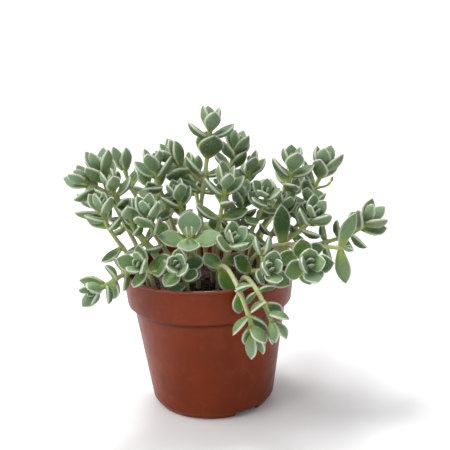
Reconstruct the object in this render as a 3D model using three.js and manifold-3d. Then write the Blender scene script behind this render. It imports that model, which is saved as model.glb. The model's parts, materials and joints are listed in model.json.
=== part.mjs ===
// Potted crassula: a plastic nursery pot, the soil in it and the leafy stems that grow from the soil.
// Millimetres, +Z up, +Y away from the viewer. The origin is the centre of the pot's flat base.
import * as THREE from 'three';
import { mergeVertices } from 'three/addons/utils/BufferGeometryUtils.js';
import Module from 'manifold-3d';

const wasm = await Module();
wasm.setup();

const DEGREE = Math.PI / 180;
const MERGE_WITHIN = 1e-4;
const SLIVER = 0.1;
// How far a cutter runs past what it cuts
const CUT_PAST = 1;

// The pot's driving sizes
const POT_HEIGHT = 69;
const RIM_RADIUS = 42.5;
const LIP_HEIGHT = 2;
const LIP_OVERHANG = 0.9;
const COLLAR_FOOT_Z = 52.2;
const COLLAR_FOOT_RADIUS = 40;
const BODY_TOP_Z = 50.2;
const BODY_TOP_RADIUS = 37.1;
const BODY_FOOT_Z = 3.5;
const BODY_FOOT_RADIUS = 30.2;
const BASE_RADIUS = 27.6;
const WALL = 1.2;
const BASE_THICK = 1.4;
const LIP_BEVEL = 0.5;
const INNER_FOOT_RISE = 0.6;
const ROUND_SEGMENTS = 32;

// Three drainage channels cross the base from the foot inwards
const CHANNEL_ANGLES = [-57, 63, 183];
const CHANNEL_WIDTH = 13;
const CHANNEL_HEIGHT = 2.8;
const CHANNEL_INNER_RADIUS = 13;
const DRAIN_RADIUS = 2.6;
const DRAIN_DISTANCE = 20.5;
const DRAIN_SIDES = 12;

// The soil's surface lies below the rim, and each root stands in a plain hole
const SOIL_TOP = 62;
const SOIL_LEVEL = 61;
const SOIL_BUMP = 0.4;
const SOIL_SEGMENTS = 20;
const SOIL_RINGS = [0.7, 0.36];
// The waves in it: share of the bump, turn in radians per mm along x and along y, and start
const SOIL_WAVES = [
  [0.5, 0.31, 0.27, 1.7],
  [0.5, 0.31, -0.27, 1.7],
  [1, 0.17, -0.23, 0.6],
];
const CLEARANCE = 0.3;
const ROOT_DEPTH = 9;
const ROOT_HOLE_RADIUS = 1.8;
const ROOT_HOLE_DEEPER = 0.4;

// The stems
const STEM_RADIUS = 1.25;
const STEM_SIDES = 5;
const STEM_STRAY = 0.5;
const STEM_OVERLAP = 1;
const FEWEST_STEPS = 3;
const CURVE_STEPS = 24;
const RISE_SHARE = 0.4;
const AIM_SHARE = 0.35;
const STRAIGHT_ON_SHARE = 1.2;
const LEAFLESS_FOOT = 1.5;

// The leaves: a spoon shape, widest past the middle, with a sagging midline and cupped margins
const LEAF_THICK = 3.8;
const LEAF_THICK_SHARE = 0.3;
const LEAF_THINNEST = 1.3;
const LEAF_BROAD = 0.65;
const SMALL_LEAF = 7;
const SMALL_LEAF_BROAD = 0.8;
const WIDEST_AT = 0.52;
const BASE_WIDTH_SHARE = 0.32;
const TIP_POWER = 2.3;
const BASE_POWER = 1.5;
const FATTEST_AT = 0.45;
const BASE_FATNESS = 0.55;
const FATNESS_POWER = 2.4;
const SAG = 0.06;
const CUP = 0.14;
const UPPER_SHARE = 0.36;
const ROOT_OUT = 0.5;
const REACH_SHARE = 0.62;
const NEARLY_ALONG = 0.9;
const USUAL_GAP = 1;
const LEAF_SECTIONS = [0.2, 0.52, 0.8];
const SHORT_LEAF_SECTIONS = [0.32, 0.7];
const SHORT_LEAF = 15.5;
const BUD_LEAF_SECTIONS = [0.5];
const BUD_LEAF = 8.5;
const PROBE_SECTIONS = [0.15, 0.32, 0.5, 0.68, 0.85];
const PROBE_PLACES = [-1, -0.5, 0, 0.5, 1];

// Pairs of leaves from a shoot's tip down: distance, angle from the stem, share of the leaf's length
const LADDER = [
  [0.4, 6, 0.45],
  [1.5, 19, 0.84],
  [3, 29, 1],
  [6.5, 46, 1.04],
  [11.5, 60, 1.04],
  [17.5, 70, 1],
  [24.5, 78, 0.95],
  [32, 84, 0.9],
];

// Where a leaf would touch another stem's leaf it is bent, turned or made smaller, in this order
const TRIES = [
  [0, 0, 1],
  [-12, 0, 1],
  [12, 0, 1],
  [0, 12, 1],
  [0, -12, 1],
  [-24, 0, 0.95],
  [20, 0, 0.9],
  [0, 22, 0.9],
  [0, -22, 0.9],
  [-35, 0, 0.85],
  [0, 0, 0.75],
  [-15, 15, 0.75],
  [-15, -15, 0.75],
  [-30, 0, 0.65],
  [0, 0, 0.55],
];
const LEAF_GAP = 0.55;
const POT_GAP = 0.62;
const OVER_SOIL = 1;
const ROOTED_WITHIN = 2.5;
const STEM_FREE_WITHIN = 4;

// No two leaves are quite alike: the spread of their lean and turn in degrees and of their length
const LEAN_SPREAD = 10;
const BUD_LEAN_SPREAD = 3;
const BUD_WITHIN = 1;
const LEAST_LEAN = 6;
const TURN_SPREAD = 12;
const LENGTH_SPREAD = 0.14;
const SEED_STEP = 7919;
const SEED_START = 17;

// Each shoot has a root in the soil or a place back from its parent's tip, a tip, the way the tip aims,
// its leaf length, the roll of its leaf pairs, and how many pairs it has. Every shoot of a stem names it.
// own lists pairs outside the ladder: distance, angle, length, roll, twist and, where it is not the
// shoot's, the share of breadth.
const SHOOTS = [
  { name: 'creeping', root: [18, -12], tip: [64, -19, 79], aim: [1, 0, -0.08], leaf: 17, roll: 90,
    pairs: 0, lift: 0.55, broad: 0.45, own: [[0.5, 40, 5, 90, 0], [2.5, 72, 17, 0, 65],
    [29, 82, 18, 0, 65]] },
  { name: 'creeping_rosette', from: 'creeping', back: 28, tip: [44, -42, 79], aim: [0.1, -0.8, 0.6],
    leaf: 12, roll: 10, pairs: 6, open: 1.35, broad: 0.72 },
  { name: 'crown', root: [-5, 3], tip: [4, 0, 137], aim: [0.12, -0.05, 1], leaf: 12.5, roll: 15, pairs: 4,
    open: 1.15, own: [[16, 34, 14, -5, 0, 0.86], [25, 65, 12, 90, 0], [33, 65, 12, 60, 0]] },
  { name: 'crown_side', from: 'crown', back: 30, tip: [-15, 5, 122], aim: [-0.25, -0.1, 1], leaf: 12,
    roll: -30, pairs: 5 },
  { name: 'broad', root: [-5, -14], tip: [-8, -27, 91], aim: [0.05, -0.6, 0.8], leaf: 13, roll: 90,
    pairs: 1, broad: 0.76, own: [[2.5, 70, 12, 90, 0, 0.85], [4, 82, 14.5, 0, 0, 0.64],
    [14, 80, 11, 90, 0]] },
  { name: 'front_left', root: [-20, -26], tip: [-31, -37, 81], aim: [-0.1, -0.8, 0.6], leaf: 11, roll: 40,
    pairs: 5, open: 1.25, lift: 0.6, own: [[9, 100, 12, 30, 0]] },
  { name: 'front_middle', root: [-10, -27], tip: [-14, -39, 80.5], aim: [0.1, -0.8, 0.6], leaf: 10.5,
    roll: 45, pairs: 6, open: 1.25, lift: 0.6 },
  { name: 'trailing', root: [4, -24], tip: [18, -53, 52], aim: [0.1, 0.05, -1], leaf: 11.5, roll: 60,
    pairs: 0, lift: 0.98, own: [[0.6, 14, 11, 0, 0], [4, 40, 10.5, 90, 0], [8, 60, 11, 0, 0],
    [20, 75, 11, 90, 0], [43, 90, 14, -15, 0, 0.75]] },
  { name: 'trailing_short', root: [14, -31], tip: [27, -54, 55], aim: [0.25, -0.4, -0.8], leaf: 10,
    roll: 30, pairs: 5, open: 1.15, lift: 0.85, own: [[18, 70, 8, 60, 0]] },
  { name: 'front_right', root: [15, -23], tip: [27, -42, 78], aim: [-0.1, -0.75, 0.65], leaf: 11,
    roll: 20, pairs: 6, open: 1.3, lift: 0.55, broad: 0.7 },
  { name: 'front_right_bud', from: 'front_right', back: 11, tip: [24, -38, 84], aim: [0, -0.2, 1],
    leaf: 10, roll: 80, pairs: 0, own: [[0.8, 14, 10, 0, 0]] },
  { name: 'centre_front', root: [5, -17], tip: [12, -31, 89], aim: [0.2, -0.6, 0.8], leaf: 11, roll: 30,
    pairs: 7, open: 1.2, broad: 0.68 },
  { name: 'far_right', root: [30, 1], tip: [77, -8, 90], aim: [0.4, -0.3, 0.9], leaf: 12.5, roll: 30,
    pairs: 7, open: 1.1, lift: 0.3, broad: 0.66 },
  { name: 'right_open', root: [25, -9], tip: [50, -18, 96], aim: [0.15, -0.6, 0.8], leaf: 11.5, roll: 35,
    pairs: 7, open: 1.2, broad: 0.66 },
  { name: 'right_tall', root: [20, 4], tip: [41.5, -2, 117], aim: [0.05, -0.15, 1], leaf: 12.5, roll: 12,
    pairs: 7, open: 1.15, broad: 0.66 },
  { name: 'right_front', root: [14, -5], tip: [28, -13, 106], aim: [-0.15, -0.7, 0.7], leaf: 10.5,
    roll: 60, pairs: 7, open: 1.25 },
  { name: 'right_outer', root: [27, 11], tip: [58, 7, 114], aim: [0.15, -0.1, 1], leaf: 13, roll: 55,
    pairs: 7 },
  { name: 'right_outer_bud', from: 'right_outer', back: 15, tip: [60, -3, 108], aim: [0.5, -0.2, 1],
    leaf: 5, roll: 0, pairs: 1 },
  { name: 'centre', root: [2, -6], tip: [9.5, -14, 112], aim: [0.1, -0.2, 1], leaf: 11.5, roll: 15,
    pairs: 5, broad: 0.58, own: [[19, 70, 13, 85, 0, 0.7], [27, 75, 11, 0, 0]] },
  { name: 'crown_right', root: [9, 12], tip: [16, 11, 125], aim: [0.3, 0, 1], leaf: 11.5, roll: 50,
    pairs: 6 },
  { name: 'middle_back', root: [16, 14], tip: [22, 9, 116], aim: [0.05, -0.2, 1], leaf: 10.5, roll: 20,
    pairs: 6 },
  { name: 'left_tall', root: [-13, 9], tip: [-23, -2, 119.5], aim: [-0.05, -0.15, 1], leaf: 12, roll: -20,
    pairs: 7, open: 1.05 },
  { name: 'far_left', root: [-28, -19], tip: [-47.5, -8, 120], aim: [-0.1, 0, 1], leaf: 12.5, roll: 60,
    pairs: 5, own: [[30, 80, 10.5, 0, 0], [38, 80, 10.5, 60, 0]] },
  { name: 'far_left_side', from: 'far_left', back: 14, tip: [-55, -11, 115], aim: [-0.45, -0.1, 0.9],
    leaf: 12, roll: 50, pairs: 5, open: 1.15, broad: 0.68 },
  { name: 'left_slant', root: [-22, -11], tip: [-42, -18, 114], aim: [-0.1, -0.2, 1], leaf: 10.5,
    roll: 20, pairs: 6 },
  { name: 'left_lone', root: [-20, 13], tip: [-38, 6, 116.5], aim: [-0.15, 0, 1], leaf: 12, roll: 60,
    pairs: 1, own: [[0.9, 16, 12, 0, 0], [9.5, 55, 9, 90, 0], [18, 70, 11, 0, 0], [26, 70, 11, 90, 0]] },
  { name: 'left_pale', root: [-33, -12], tip: [-46, -24, 105], aim: [0.1, -0.3, 1], leaf: 11, roll: 45,
    pairs: 5, own: [[24, 88, 11, 60, 0]] },
  { name: 'left_round', root: [-19, -19], tip: [-35, -24, 102], aim: [-0.05, -0.3, 1], leaf: 9.5,
    roll: 20, pairs: 6 },
  { name: 'left_middle', root: [-13, -18], tip: [-26, -28, 103], aim: [0.05, -0.3, 1], leaf: 11, roll: 60,
    pairs: 7, gap: 1.1 },
  { name: 'rim_left', root: [-25, -26], tip: [-50, -41, 71], aim: [-0.45, -0.8, 0.1], leaf: 10.5,
    roll: 50, pairs: 6, open: 1.2, lift: 0.85 },
  { name: 'inner_left', root: [-9, -4], tip: [-13, -8, 106], aim: [-0.2, -0.2, 1], leaf: 10.5, roll: 30,
    pairs: 5 },
  { name: 'inner_right', root: [9, 0], tip: [18, -2, 103], aim: [0.1, -0.2, 1], leaf: 10.5, roll: 50,
    pairs: 6 },
  { name: 'inner_far_right', root: [24, -3], tip: [37, -7, 99], aim: [0.1, -0.3, 1], leaf: 10.5, roll: 20,
    pairs: 6 },
  { name: 'deep_right', root: [31, -6], tip: [50, 1, 99], aim: [0.1, -0.2, 1], leaf: 11, roll: 65,
    pairs: 6 },
  { name: 'back_left_tall', root: [-13, 17], tip: [-30, 30, 106], aim: [-0.3, 0.3, 1], leaf: 12.5,
    roll: 15, pairs: 5 },
  { name: 'back_tall', root: [-1, 20], tip: [-6, 35, 108], aim: [-0.1, 0.4, 0.9], leaf: 12.5, roll: 40,
    pairs: 5 },
  { name: 'back_middle', root: [10, 21], tip: [22, 34, 104], aim: [0.2, 0.4, 0.9], leaf: 12.5, roll: 10,
    pairs: 5 },
  { name: 'back_right', root: [21, 19], tip: [46, 29, 101], aim: [0.4, 0.3, 0.9], leaf: 12.5, roll: 70,
    pairs: 5 },
  { name: 'back_left', root: [-24, 16], tip: [-56, 18, 98], aim: [-0.5, 0.2, 0.9], leaf: 12.5, roll: 30,
    pairs: 5 },
  { name: 'back_right_low', root: [26, 22], tip: [40, 54, 82], aim: [0.3, 0.8, 0.3], leaf: 11.5, roll: 30,
    pairs: 4, lift: 0.5 },
  { name: 'back_left_low', root: [-12, 28], tip: [-22, 54, 82], aim: [-0.2, 0.9, 0.3], leaf: 11.5,
    roll: 60, pairs: 4, lift: 0.5 },
  { name: 'back_trailing', root: [5, 31], tip: [5, 57, 70], aim: [0.1, 0.8, -0.4], leaf: 11.5, roll: 10,
    pairs: 4, lift: 0.75 },
];

// Materials
const potPlastic = new THREE.MeshStandardMaterial({ color: 0x8a4630, roughness: 0.42, metalness: 0 });
const peat = new THREE.MeshStandardMaterial({ color: 0x2c221c, roughness: 0.95, metalness: 0 });
const leafGreen = new THREE.MeshStandardMaterial({ color: 0x5f8a5c, roughness: 0.8, metalness: 0 });

// Vectors as plain lists of three numbers
function add(a, b, k = 1) {
  return [a[0] + b[0] * k, a[1] + b[1] * k, a[2] + b[2] * k];
}

function dot(a, b) {
  return a[0] * b[0] + a[1] * b[1] + a[2] * b[2];
}

function cross(a, b) {
  return [a[1] * b[2] - a[2] * b[1], a[2] * b[0] - a[0] * b[2], a[0] * b[1] - a[1] * b[0]];
}

function scaled(a, k) {
  return [a[0] * k, a[1] * k, a[2] * k];
}

function unit(a) {
  return scaled(a, 1 / Math.sqrt(dot(a, a)));
}

function away(a, b) {
  return Math.sqrt((a[0] - b[0]) ** 2 + (a[1] - b[1]) ** 2 + (a[2] - b[2]) ** 2);
}

// A repeatable series of numbers between 0 and 1
function seeded(seed) {
  let state = seed;
  return () => {
    state = (state * 48271) % 2147483647;
    return state / 2147483647;
  };
}

// Solids
function volumeOf(places, index) {
  let volume = 0;
  for (let i = 0; i < index.length; i += 3) {
    const [a, b, c] = [0, 1, 2].map((k) => places.slice(index[i + k] * 3, index[i + k] * 3 + 3));
    volume += dot(a, cross(b, c));
  }
  return volume / 6;
}

// The triangles of a closed mesh, without those that shrink to a line at a pole, all facing out
function closedFaces(places, index) {
  const kept = [];
  for (let i = 0; i < index.length; i += 3) {
    const [a, b, c] = index.slice(i, i + 3);
    if (a !== b && b !== c && c !== a) kept.push(a, b, c);
  }
  if (volumeOf(places, kept) < 0) kept.reverse();
  return new Uint32Array(kept);
}

function solidOf(geometry) {
  const bare = geometry.clone();
  bare.deleteAttribute('normal');
  bare.deleteAttribute('uv');
  const merged = mergeVertices(bare, MERGE_WITHIN);
  const vertProperties = new Float32Array(merged.attributes.position.array);
  const triVerts = closedFaces(vertProperties, Array.from(merged.index.array));
  return new wasm.Manifold(new wasm.Mesh({ numProp: 3, vertProperties, triVerts }));
}

function meshOf(solid, material, name) {
  const { vertProperties, triVerts } = solid.getMesh();
  const geometry = new THREE.BufferGeometry();
  geometry.setAttribute('position', new THREE.BufferAttribute(vertProperties, 3));
  geometry.setIndex(new THREE.BufferAttribute(triVerts, 1));
  const mesh = new THREE.Mesh(geometry, material);
  mesh.name = name;
  return mesh;
}

// A profile of [radius, height] points turned about Z, from the axis below to the axis above
function turned(profile, segments = ROUND_SEGMENTS) {
  const points = profile.map(([r, z]) => new THREE.Vector2(r, z));
  return new THREE.LatheGeometry(points, segments).rotateX(Math.PI / 2);
}

// A box that runs outwards from the axis at an angle, between two radii and two heights
function radialBox(angle, inner, outer, width, low, high) {
  const box = new THREE.BoxGeometry(outer - inner, width, high - low);
  box.translate((inner + outer) / 2, 0, (low + high) / 2);
  return solidOf(box.rotateZ(angle * DEGREE));
}

function uprightRod(radius, sides, x, y, low, high) {
  const rod = new THREE.CylinderGeometry(radius, radius, high - low, sides).rotateX(Math.PI / 2);
  return solidOf(rod.translate(x, y, (low + high) / 2));
}

// The pot
function potOuterRadius(z) {
  if (z > COLLAR_FOOT_Z) {
    const up = (z - COLLAR_FOOT_Z) / (POT_HEIGHT - COLLAR_FOOT_Z);
    return COLLAR_FOOT_RADIUS + up * (RIM_RADIUS - COLLAR_FOOT_RADIUS);
  }
  const up = (z - BODY_FOOT_Z) / (BODY_TOP_Z - BODY_FOOT_Z);
  return BODY_FOOT_RADIUS + up * (BODY_TOP_RADIUS - BODY_FOOT_RADIUS);
}

function potOutside() {
  const lipFoot = POT_HEIGHT - LIP_HEIGHT;
  return [
    [0, 0],
    [BASE_RADIUS, 0],
    [BODY_FOOT_RADIUS, BODY_FOOT_Z],
    [BODY_TOP_RADIUS, BODY_TOP_Z],
    [COLLAR_FOOT_RADIUS, COLLAR_FOOT_Z],
    [RIM_RADIUS - LIP_OVERHANG, lipFoot],
    [RIM_RADIUS, lipFoot + LIP_BEVEL],
    [RIM_RADIUS, POT_HEIGHT],
    [0, POT_HEIGHT],
  ];
}

// The inner wall, smaller by more where the soil inside it keeps clear
function potInside(shrink, low, high) {
  const inner = (z) => potOuterRadius(z) - WALL - shrink;
  return [
    [0, low],
    [BASE_RADIUS - WALL - shrink, low],
    [inner(BODY_FOOT_Z + INNER_FOOT_RISE), BODY_FOOT_Z + INNER_FOOT_RISE],
    [inner(BODY_TOP_Z), BODY_TOP_Z + WALL / 2 + shrink],
    [inner(COLLAR_FOOT_Z + WALL), COLLAR_FOOT_Z + WALL / 2 + shrink],
    [inner(high), high],
    [0, high],
  ];
}

function channelRoofs(grow) {
  return CHANNEL_ANGLES.map((angle) => radialBox(
    angle,
    CHANNEL_INNER_RADIUS - WALL - grow,
    RIM_RADIUS,
    CHANNEL_WIDTH + 2 * (WALL + grow),
    BASE_THICK / 2,
    CHANNEL_HEIGHT + WALL + grow,
  ));
}

function makePot() {
  const outside = solidOf(turned(potOutside()));
  let pot = outside.subtract(solidOf(turned(potInside(0, BASE_THICK, POT_HEIGHT + CUT_PAST))));
  for (const roof of channelRoofs(0)) {
    pot = pot.add(roof.intersect(outside));
  }
  for (const angle of CHANNEL_ANGLES) {
    const [inner, outer] = [CHANNEL_INNER_RADIUS, RIM_RADIUS];
    const channel = radialBox(angle, inner, outer, CHANNEL_WIDTH, -CUT_PAST, CHANNEL_HEIGHT);
    const x = DRAIN_DISTANCE * Math.cos(angle * DEGREE);
    const y = DRAIN_DISTANCE * Math.sin(angle * DEGREE);
    const drain = uprightRod(DRAIN_RADIUS, DRAIN_SIDES, x, y, 0, CHANNEL_HEIGHT + 2 * WALL);
    pot = pot.subtract(channel).subtract(drain);
  }
  return meshOf(pot, potPlastic, 'pot');
}

// The soil
function soilBump(x, y) {
  const waves = SOIL_WAVES.map(([share, a, b, start]) => share * Math.sin(a * x + b * y + start));
  return SOIL_BUMP * waves.reduce((sum, wave) => sum + wave);
}

function makeSoil(roots) {
  const low = BASE_THICK + CLEARANCE;
  const profile = potInside(CLEARANCE, low, SOIL_LEVEL).slice(0, -1);
  const edge = profile[profile.length - 1][0];
  for (const share of SOIL_RINGS) {
    profile.push([edge * share, SOIL_LEVEL]);
  }
  profile.push([0, SOIL_LEVEL]);
  const shape = turned(profile, SOIL_SEGMENTS);
  const p = shape.attributes.position;
  for (let i = 0; i < p.count; i++) {
    if (p.getZ(i) > SOIL_LEVEL - CLEARANCE) p.setZ(i, SOIL_LEVEL + soilBump(p.getX(i), p.getY(i)));
  }
  let soil = solidOf(shape);
  for (const roof of channelRoofs(CLEARANCE)) {
    soil = soil.subtract(roof);
  }
  const holeFoot = SOIL_TOP - ROOT_DEPTH - ROOT_HOLE_DEEPER;
  for (const [x, y] of roots) {
    soil = soil.subtract(uprightRod(ROOT_HOLE_RADIUS, STEM_SIDES, x, y, holeFoot, SOIL_TOP + CUT_PAST));
  }
  return meshOf(soil, peat, 'soil');
}

// The stems' centre lines
function curvePoint(c, t) {
  const s = 1 - t;
  const k = [s * s * s, 3 * s * s * t, 3 * s * t * t, t * t * t];
  return [0, 1, 2].map((i) => c[0][i] * k[0] + c[1][i] * k[1] + c[2][i] * k[2] + c[3][i] * k[3]);
}

function curveSlope(c, t) {
  const s = 1 - t;
  const k = [3 * s * s, 6 * s * t, 3 * t * t];
  const rise = (i, n) => c[n + 1][i] - c[n][i];
  return [0, 1, 2].map((i) => rise(i, 0) * k[0] + rise(i, 1) * k[1] + rise(i, 2) * k[2]);
}

// Where a curve is at a distance back from its tip, as a share of its parameter
function parameterBack(stem, back) {
  const goal = stem.long - back;
  if (goal <= 0) return 0;
  let i = 0;
  while (i < CURVE_STEPS - 1 && stem.run[i + 1] < goal) i += 1;
  const part = (goal - stem.run[i]) / (stem.run[i + 1] - stem.run[i]);
  return (i + part) / CURVE_STEPS;
}

function makeStem(shoot, parent) {
  let start = [0, 0, 0];
  let rise = [0, 0, 1];
  if (parent) {
    const t = parameterBack(parent, shoot.back);
    start = curvePoint(parent.controls, t);
    const onwards = unit(curveSlope(parent.controls, t));
    rise = add(onwards, unit(add(shoot.tip, start, -1)), STRAIGHT_ON_SHARE);
  } else {
    start = [shoot.root[0], shoot.root[1], SOIL_TOP];
  }
  const reach = away(start, shoot.tip);
  const lift = shoot.lift ?? RISE_SHARE;
  const second = add(start, unit(rise), lift * reach);
  const third = add(shoot.tip, unit(shoot.aim), -AIM_SHARE * reach);
  const controls = [start, second, third, shoot.tip];
  const points = [];
  const run = [0];
  for (let i = 0; i <= CURVE_STEPS; i++) {
    points.push(curvePoint(controls, i / CURVE_STEPS));
    if (i > 0) run.push(run[i - 1] + away(points[i - 1], points[i]));
  }
  const plant = parent ? parent.plant : shoot.name;
  return { name: shoot.name, plant, controls, points, run, long: run[CURVE_STEPS] };
}

// The leaf's form: u runs from its base to its tip, v from one margin to the other
function halfWidth(leaf, u) {
  const share = u > WIDEST_AT
    ? 1 - ((u - WIDEST_AT) / (1 - WIDEST_AT)) ** TIP_POWER
    : BASE_WIDTH_SHARE + (1 - BASE_WIDTH_SHARE) * (1 - ((WIDEST_AT - u) / WIDEST_AT) ** BASE_POWER);
  return leaf.half * Math.max(share, 0);
}

// The leaf's thickness
function bellyAt(leaf, u, v) {
  const share = u > FATTEST_AT
    ? 1 - (2 * (u - FATTEST_AT)) ** FATNESS_POWER
    : BASE_FATNESS + ((1 - BASE_FATNESS) * u) / FATTEST_AT;
  return leaf.thick * Math.max(share, 0) * (1 - v * v);
}

// The height of the leaf's middle surface above its base line
function middleAt(leaf, u, v, w) {
  return -SAG * leaf.long * 4 * u * (1 - u) + CUP * w * v * v;
}

function leafPoint(leaf, u, v, upper) {
  const w = halfWidth(leaf, u);
  const share = upper ? UPPER_SHARE : UPPER_SHARE - 1;
  const height = middleAt(leaf, u, v, w) + share * bellyAt(leaf, u, v);
  let p = add(leaf.base, leaf.along, u * leaf.long);
  p = add(p, leaf.side, v * w);
  return add(p, leaf.face, height);
}

function insideLeaf(leaf, point, margin) {
  const q = add(point, leaf.base, -1);
  const x = dot(q, leaf.along);
  if (x < -margin || x > leaf.long + margin) return false;
  const u = Math.min(Math.max(x / leaf.long, 0), 1);
  const w = halfWidth(leaf, u);
  const y = dot(q, leaf.side);
  if (Math.abs(y) > w + margin) return false;
  const v = w > 0 ? Math.min(Math.max(y / w, -1), 1) : 0;
  const belly = bellyAt(leaf, u, v);
  const z = dot(q, leaf.face) - middleAt(leaf, u, v, w);
  return z > (UPPER_SHARE - 1) * belly - margin && z < UPPER_SHARE * belly + margin;
}

function leafProbes(leaf) {
  const points = [leafPoint(leaf, 1, 0, true)];
  for (const u of PROBE_SECTIONS) {
    for (const v of PROBE_PLACES) {
      points.push(leafPoint(leaf, u, v, true));
      if (Math.abs(v) < 1) points.push(leafPoint(leaf, u, v, false));
    }
  }
  return points;
}

// A leaf at a place on its stem, turned round the stem by azimuth, leaning out from it by lean
// and twisted about its own length
function makeLeaf(stem, base, axis, { azimuth, lean, twist, long, broad }) {
  const viewer = [0, -1, 0];
  const reference = Math.abs(dot(viewer, axis)) > NEARLY_ALONG ? [0, 0, 1] : viewer;
  const first = unit(add(reference, axis, -dot(reference, axis)));
  const second = cross(axis, first);
  const turn = azimuth * DEGREE;
  const out = add(scaled(first, Math.cos(turn)), second, Math.sin(turn));
  const tilt = lean * DEGREE;
  const along = add(scaled(axis, Math.cos(tilt)), out, Math.sin(tilt));
  const level = add(scaled(axis, Math.sin(tilt)), out, -Math.cos(tilt));
  const spin = twist * DEGREE;
  const face = add(scaled(level, Math.cos(spin)), cross(level, along), Math.sin(spin));
  const thick = Math.max(Math.min(LEAF_THICK, LEAF_THICK_SHARE * long), LEAF_THINNEST);
  const leaf = { shoot: stem.name, plant: stem.plant, along, face, long, thick };
  leaf.base = add(base, out, ROOT_OUT);
  leaf.side = cross(face, along);
  leaf.half = (long * broad) / 2;
  leaf.centre = add(leaf.base, along, long / 2);
  leaf.reach = long * REACH_SHARE;
  leaf.probes = leafProbes(leaf);
  return leaf;
}

// What a leaf keeps clear of
function meetsPot(point, margin) {
  const [x, y, z] = point;
  const r = Math.sqrt(x * x + y * y);
  if (z < margin) return true;
  if (z > POT_HEIGHT + margin) return false;
  if (r > potOuterRadius(z) + margin) return false;
  if (r > potOuterRadius(z) - 2 * WALL - margin) return true;
  return z < SOIL_TOP + OVER_SOIL + margin;
}

function leavesMeet(a, b, margin) {
  if (away(a.centre, b.centre) > a.reach + b.reach) return false;
  return a.probes.some((p) => insideLeaf(b, p, margin)) || b.probes.some((p) => insideLeaf(a, p, margin));
}

function stemMeets(leaf, stem) {
  const skipped = stem.plant === leaf.plant ? STEM_FREE_WITHIN : 0;
  return stem.points.some((p) => away(p, leaf.base) > skipped
    && insideLeaf(leaf, p, STEM_RADIUS + LEAF_GAP));
}

function leafIsFree(leaf, leaves, stems) {
  if (leaf.probes.some((p) => away(p, leaf.base) > ROOTED_WITHIN && meetsPot(p, POT_GAP))) return false;
  for (const other of leaves) {
    const margin = other.plant === leaf.plant ? 0 : LEAF_GAP;
    if (other.shoot !== leaf.shoot && leavesMeet(leaf, other, margin)) return false;
  }
  return !stems.some((stem) => stem.name !== leaf.shoot && stemMeets(leaf, stem));
}

function leafPairs(shoot) {
  const gap = shoot.gap ?? USUAL_GAP;
  const open = shoot.open ?? 1;
  const broad = shoot.broad ?? LEAF_BROAD;
  const pairs = [];
  for (let k = 0; k < shoot.pairs; k++) {
    const [back, lean, share] = LADDER[k];
    pairs.push([back * gap, lean * open, share * shoot.leaf, 90 * k, 0, broad]);
  }
  const own = shoot.own ?? [];
  return pairs.concat(own.map(([back, lean, long, roll, twist, breadth = broad]) => (
    [back, lean, long, roll, twist, breadth]
  )));
}

// The first try that keeps clear, or nothing
function placeLeaf(shoot, stem, pair, half, wobble, leaves, stems) {
  const [back, lean, long, quarter, twist, breadth] = pair;
  const t = parameterBack(stem, back);
  const base = curvePoint(stem.controls, t);
  const axis = unit(curveSlope(stem.controls, t));
  const broad = breadth * (long < SMALL_LEAF ? SMALL_LEAF_BROAD : 1);
  for (const [bend, turn, share] of TRIES) {
    const leaning = back > BUD_WITHIN
      ? Math.max(lean + bend + LEAN_SPREAD * wobble[0], LEAST_LEAN)
      : lean + BUD_LEAN_SPREAD * wobble[0];
    const azimuth = shoot.roll + quarter + half + turn + TURN_SPREAD * wobble[2];
    const reach = long * share * (1 + LENGTH_SPREAD * wobble[1]);
    const leaf = makeLeaf(stem, base, axis, { azimuth, lean: leaning, twist, long: reach, broad });
    if (leafIsFree(leaf, leaves, stems)) return leaf;
  }
  return null;
}

function layOut() {
  const stems = [];
  for (const shoot of SHOOTS) {
    stems.push(makeStem(shoot, stems.find((stem) => stem.name === shoot.from)));
  }
  const leaves = [];
  SHOOTS.forEach((shoot, index) => {
    const draw = seeded((index + 1) * SEED_STEP + SEED_START);
    const stem = stems[index];
    for (const pair of leafPairs(shoot)) {
      if (pair[0] > stem.long - LEAFLESS_FOOT) continue;
      for (const half of [0, 180]) {
        const wobble = [draw() - 0.5, draw() - 0.5, draw() - 0.5];
        const leaf = placeLeaf(shoot, stem, pair, half, wobble, leaves, stems);
        if (leaf) leaves.push(leaf);
      }
    }
  });
  return { stems, leaves };
}

// A leaf's solid: three-cornered sections, from both margins to the keel, between its root and its tip
function leafSolid(leaf) {
  let sections = LEAF_SECTIONS;
  if (leaf.long < SHORT_LEAF) sections = SHORT_LEAF_SECTIONS;
  if (leaf.long < BUD_LEAF) sections = BUD_LEAF_SECTIONS;
  const points = [leaf.base];
  for (const u of sections) {
    points.push(leafPoint(leaf, u, -1, true), leafPoint(leaf, u, 1, true), leafPoint(leaf, u, 0, false));
  }
  points.push(leafPoint(leaf, 1, 0, true));
  const index = [];
  const last = points.length - 1;
  for (let k = 0; k < 3; k++) {
    const next = (k + 1) % 3;
    index.push(0, 1 + next, 1 + k);
    for (let a = 1; a < last - 3; a += 3) {
      index.push(a + k, a + next, a + 3 + k, a + next, a + 3 + next, a + 3 + k);
    }
    index.push(last, last - 3 + k, last - 3 + next);
  }
  const geometry = new THREE.BufferGeometry();
  geometry.setAttribute('position', new THREE.Float32BufferAttribute(points.flat(), 3));
  geometry.setIndex(index);
  return solidOf(geometry);
}

// The fewest straight pieces that stay within STEM_STRAY of the curve
function stepsOf(stem) {
  let steps = FEWEST_STEPS;
  const place = (i) => curvePoint(stem.controls, parameterBack(stem, (stem.long * i) / steps));
  const strays = (i) => away(place(i + 0.5), scaled(add(place(i), place(i + 1)), 0.5)) > STEM_STRAY;
  while (steps < CURVE_STEPS / 2 && [...Array(steps).keys()].some(strays)) steps += 1;
  return steps;
}

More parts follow.
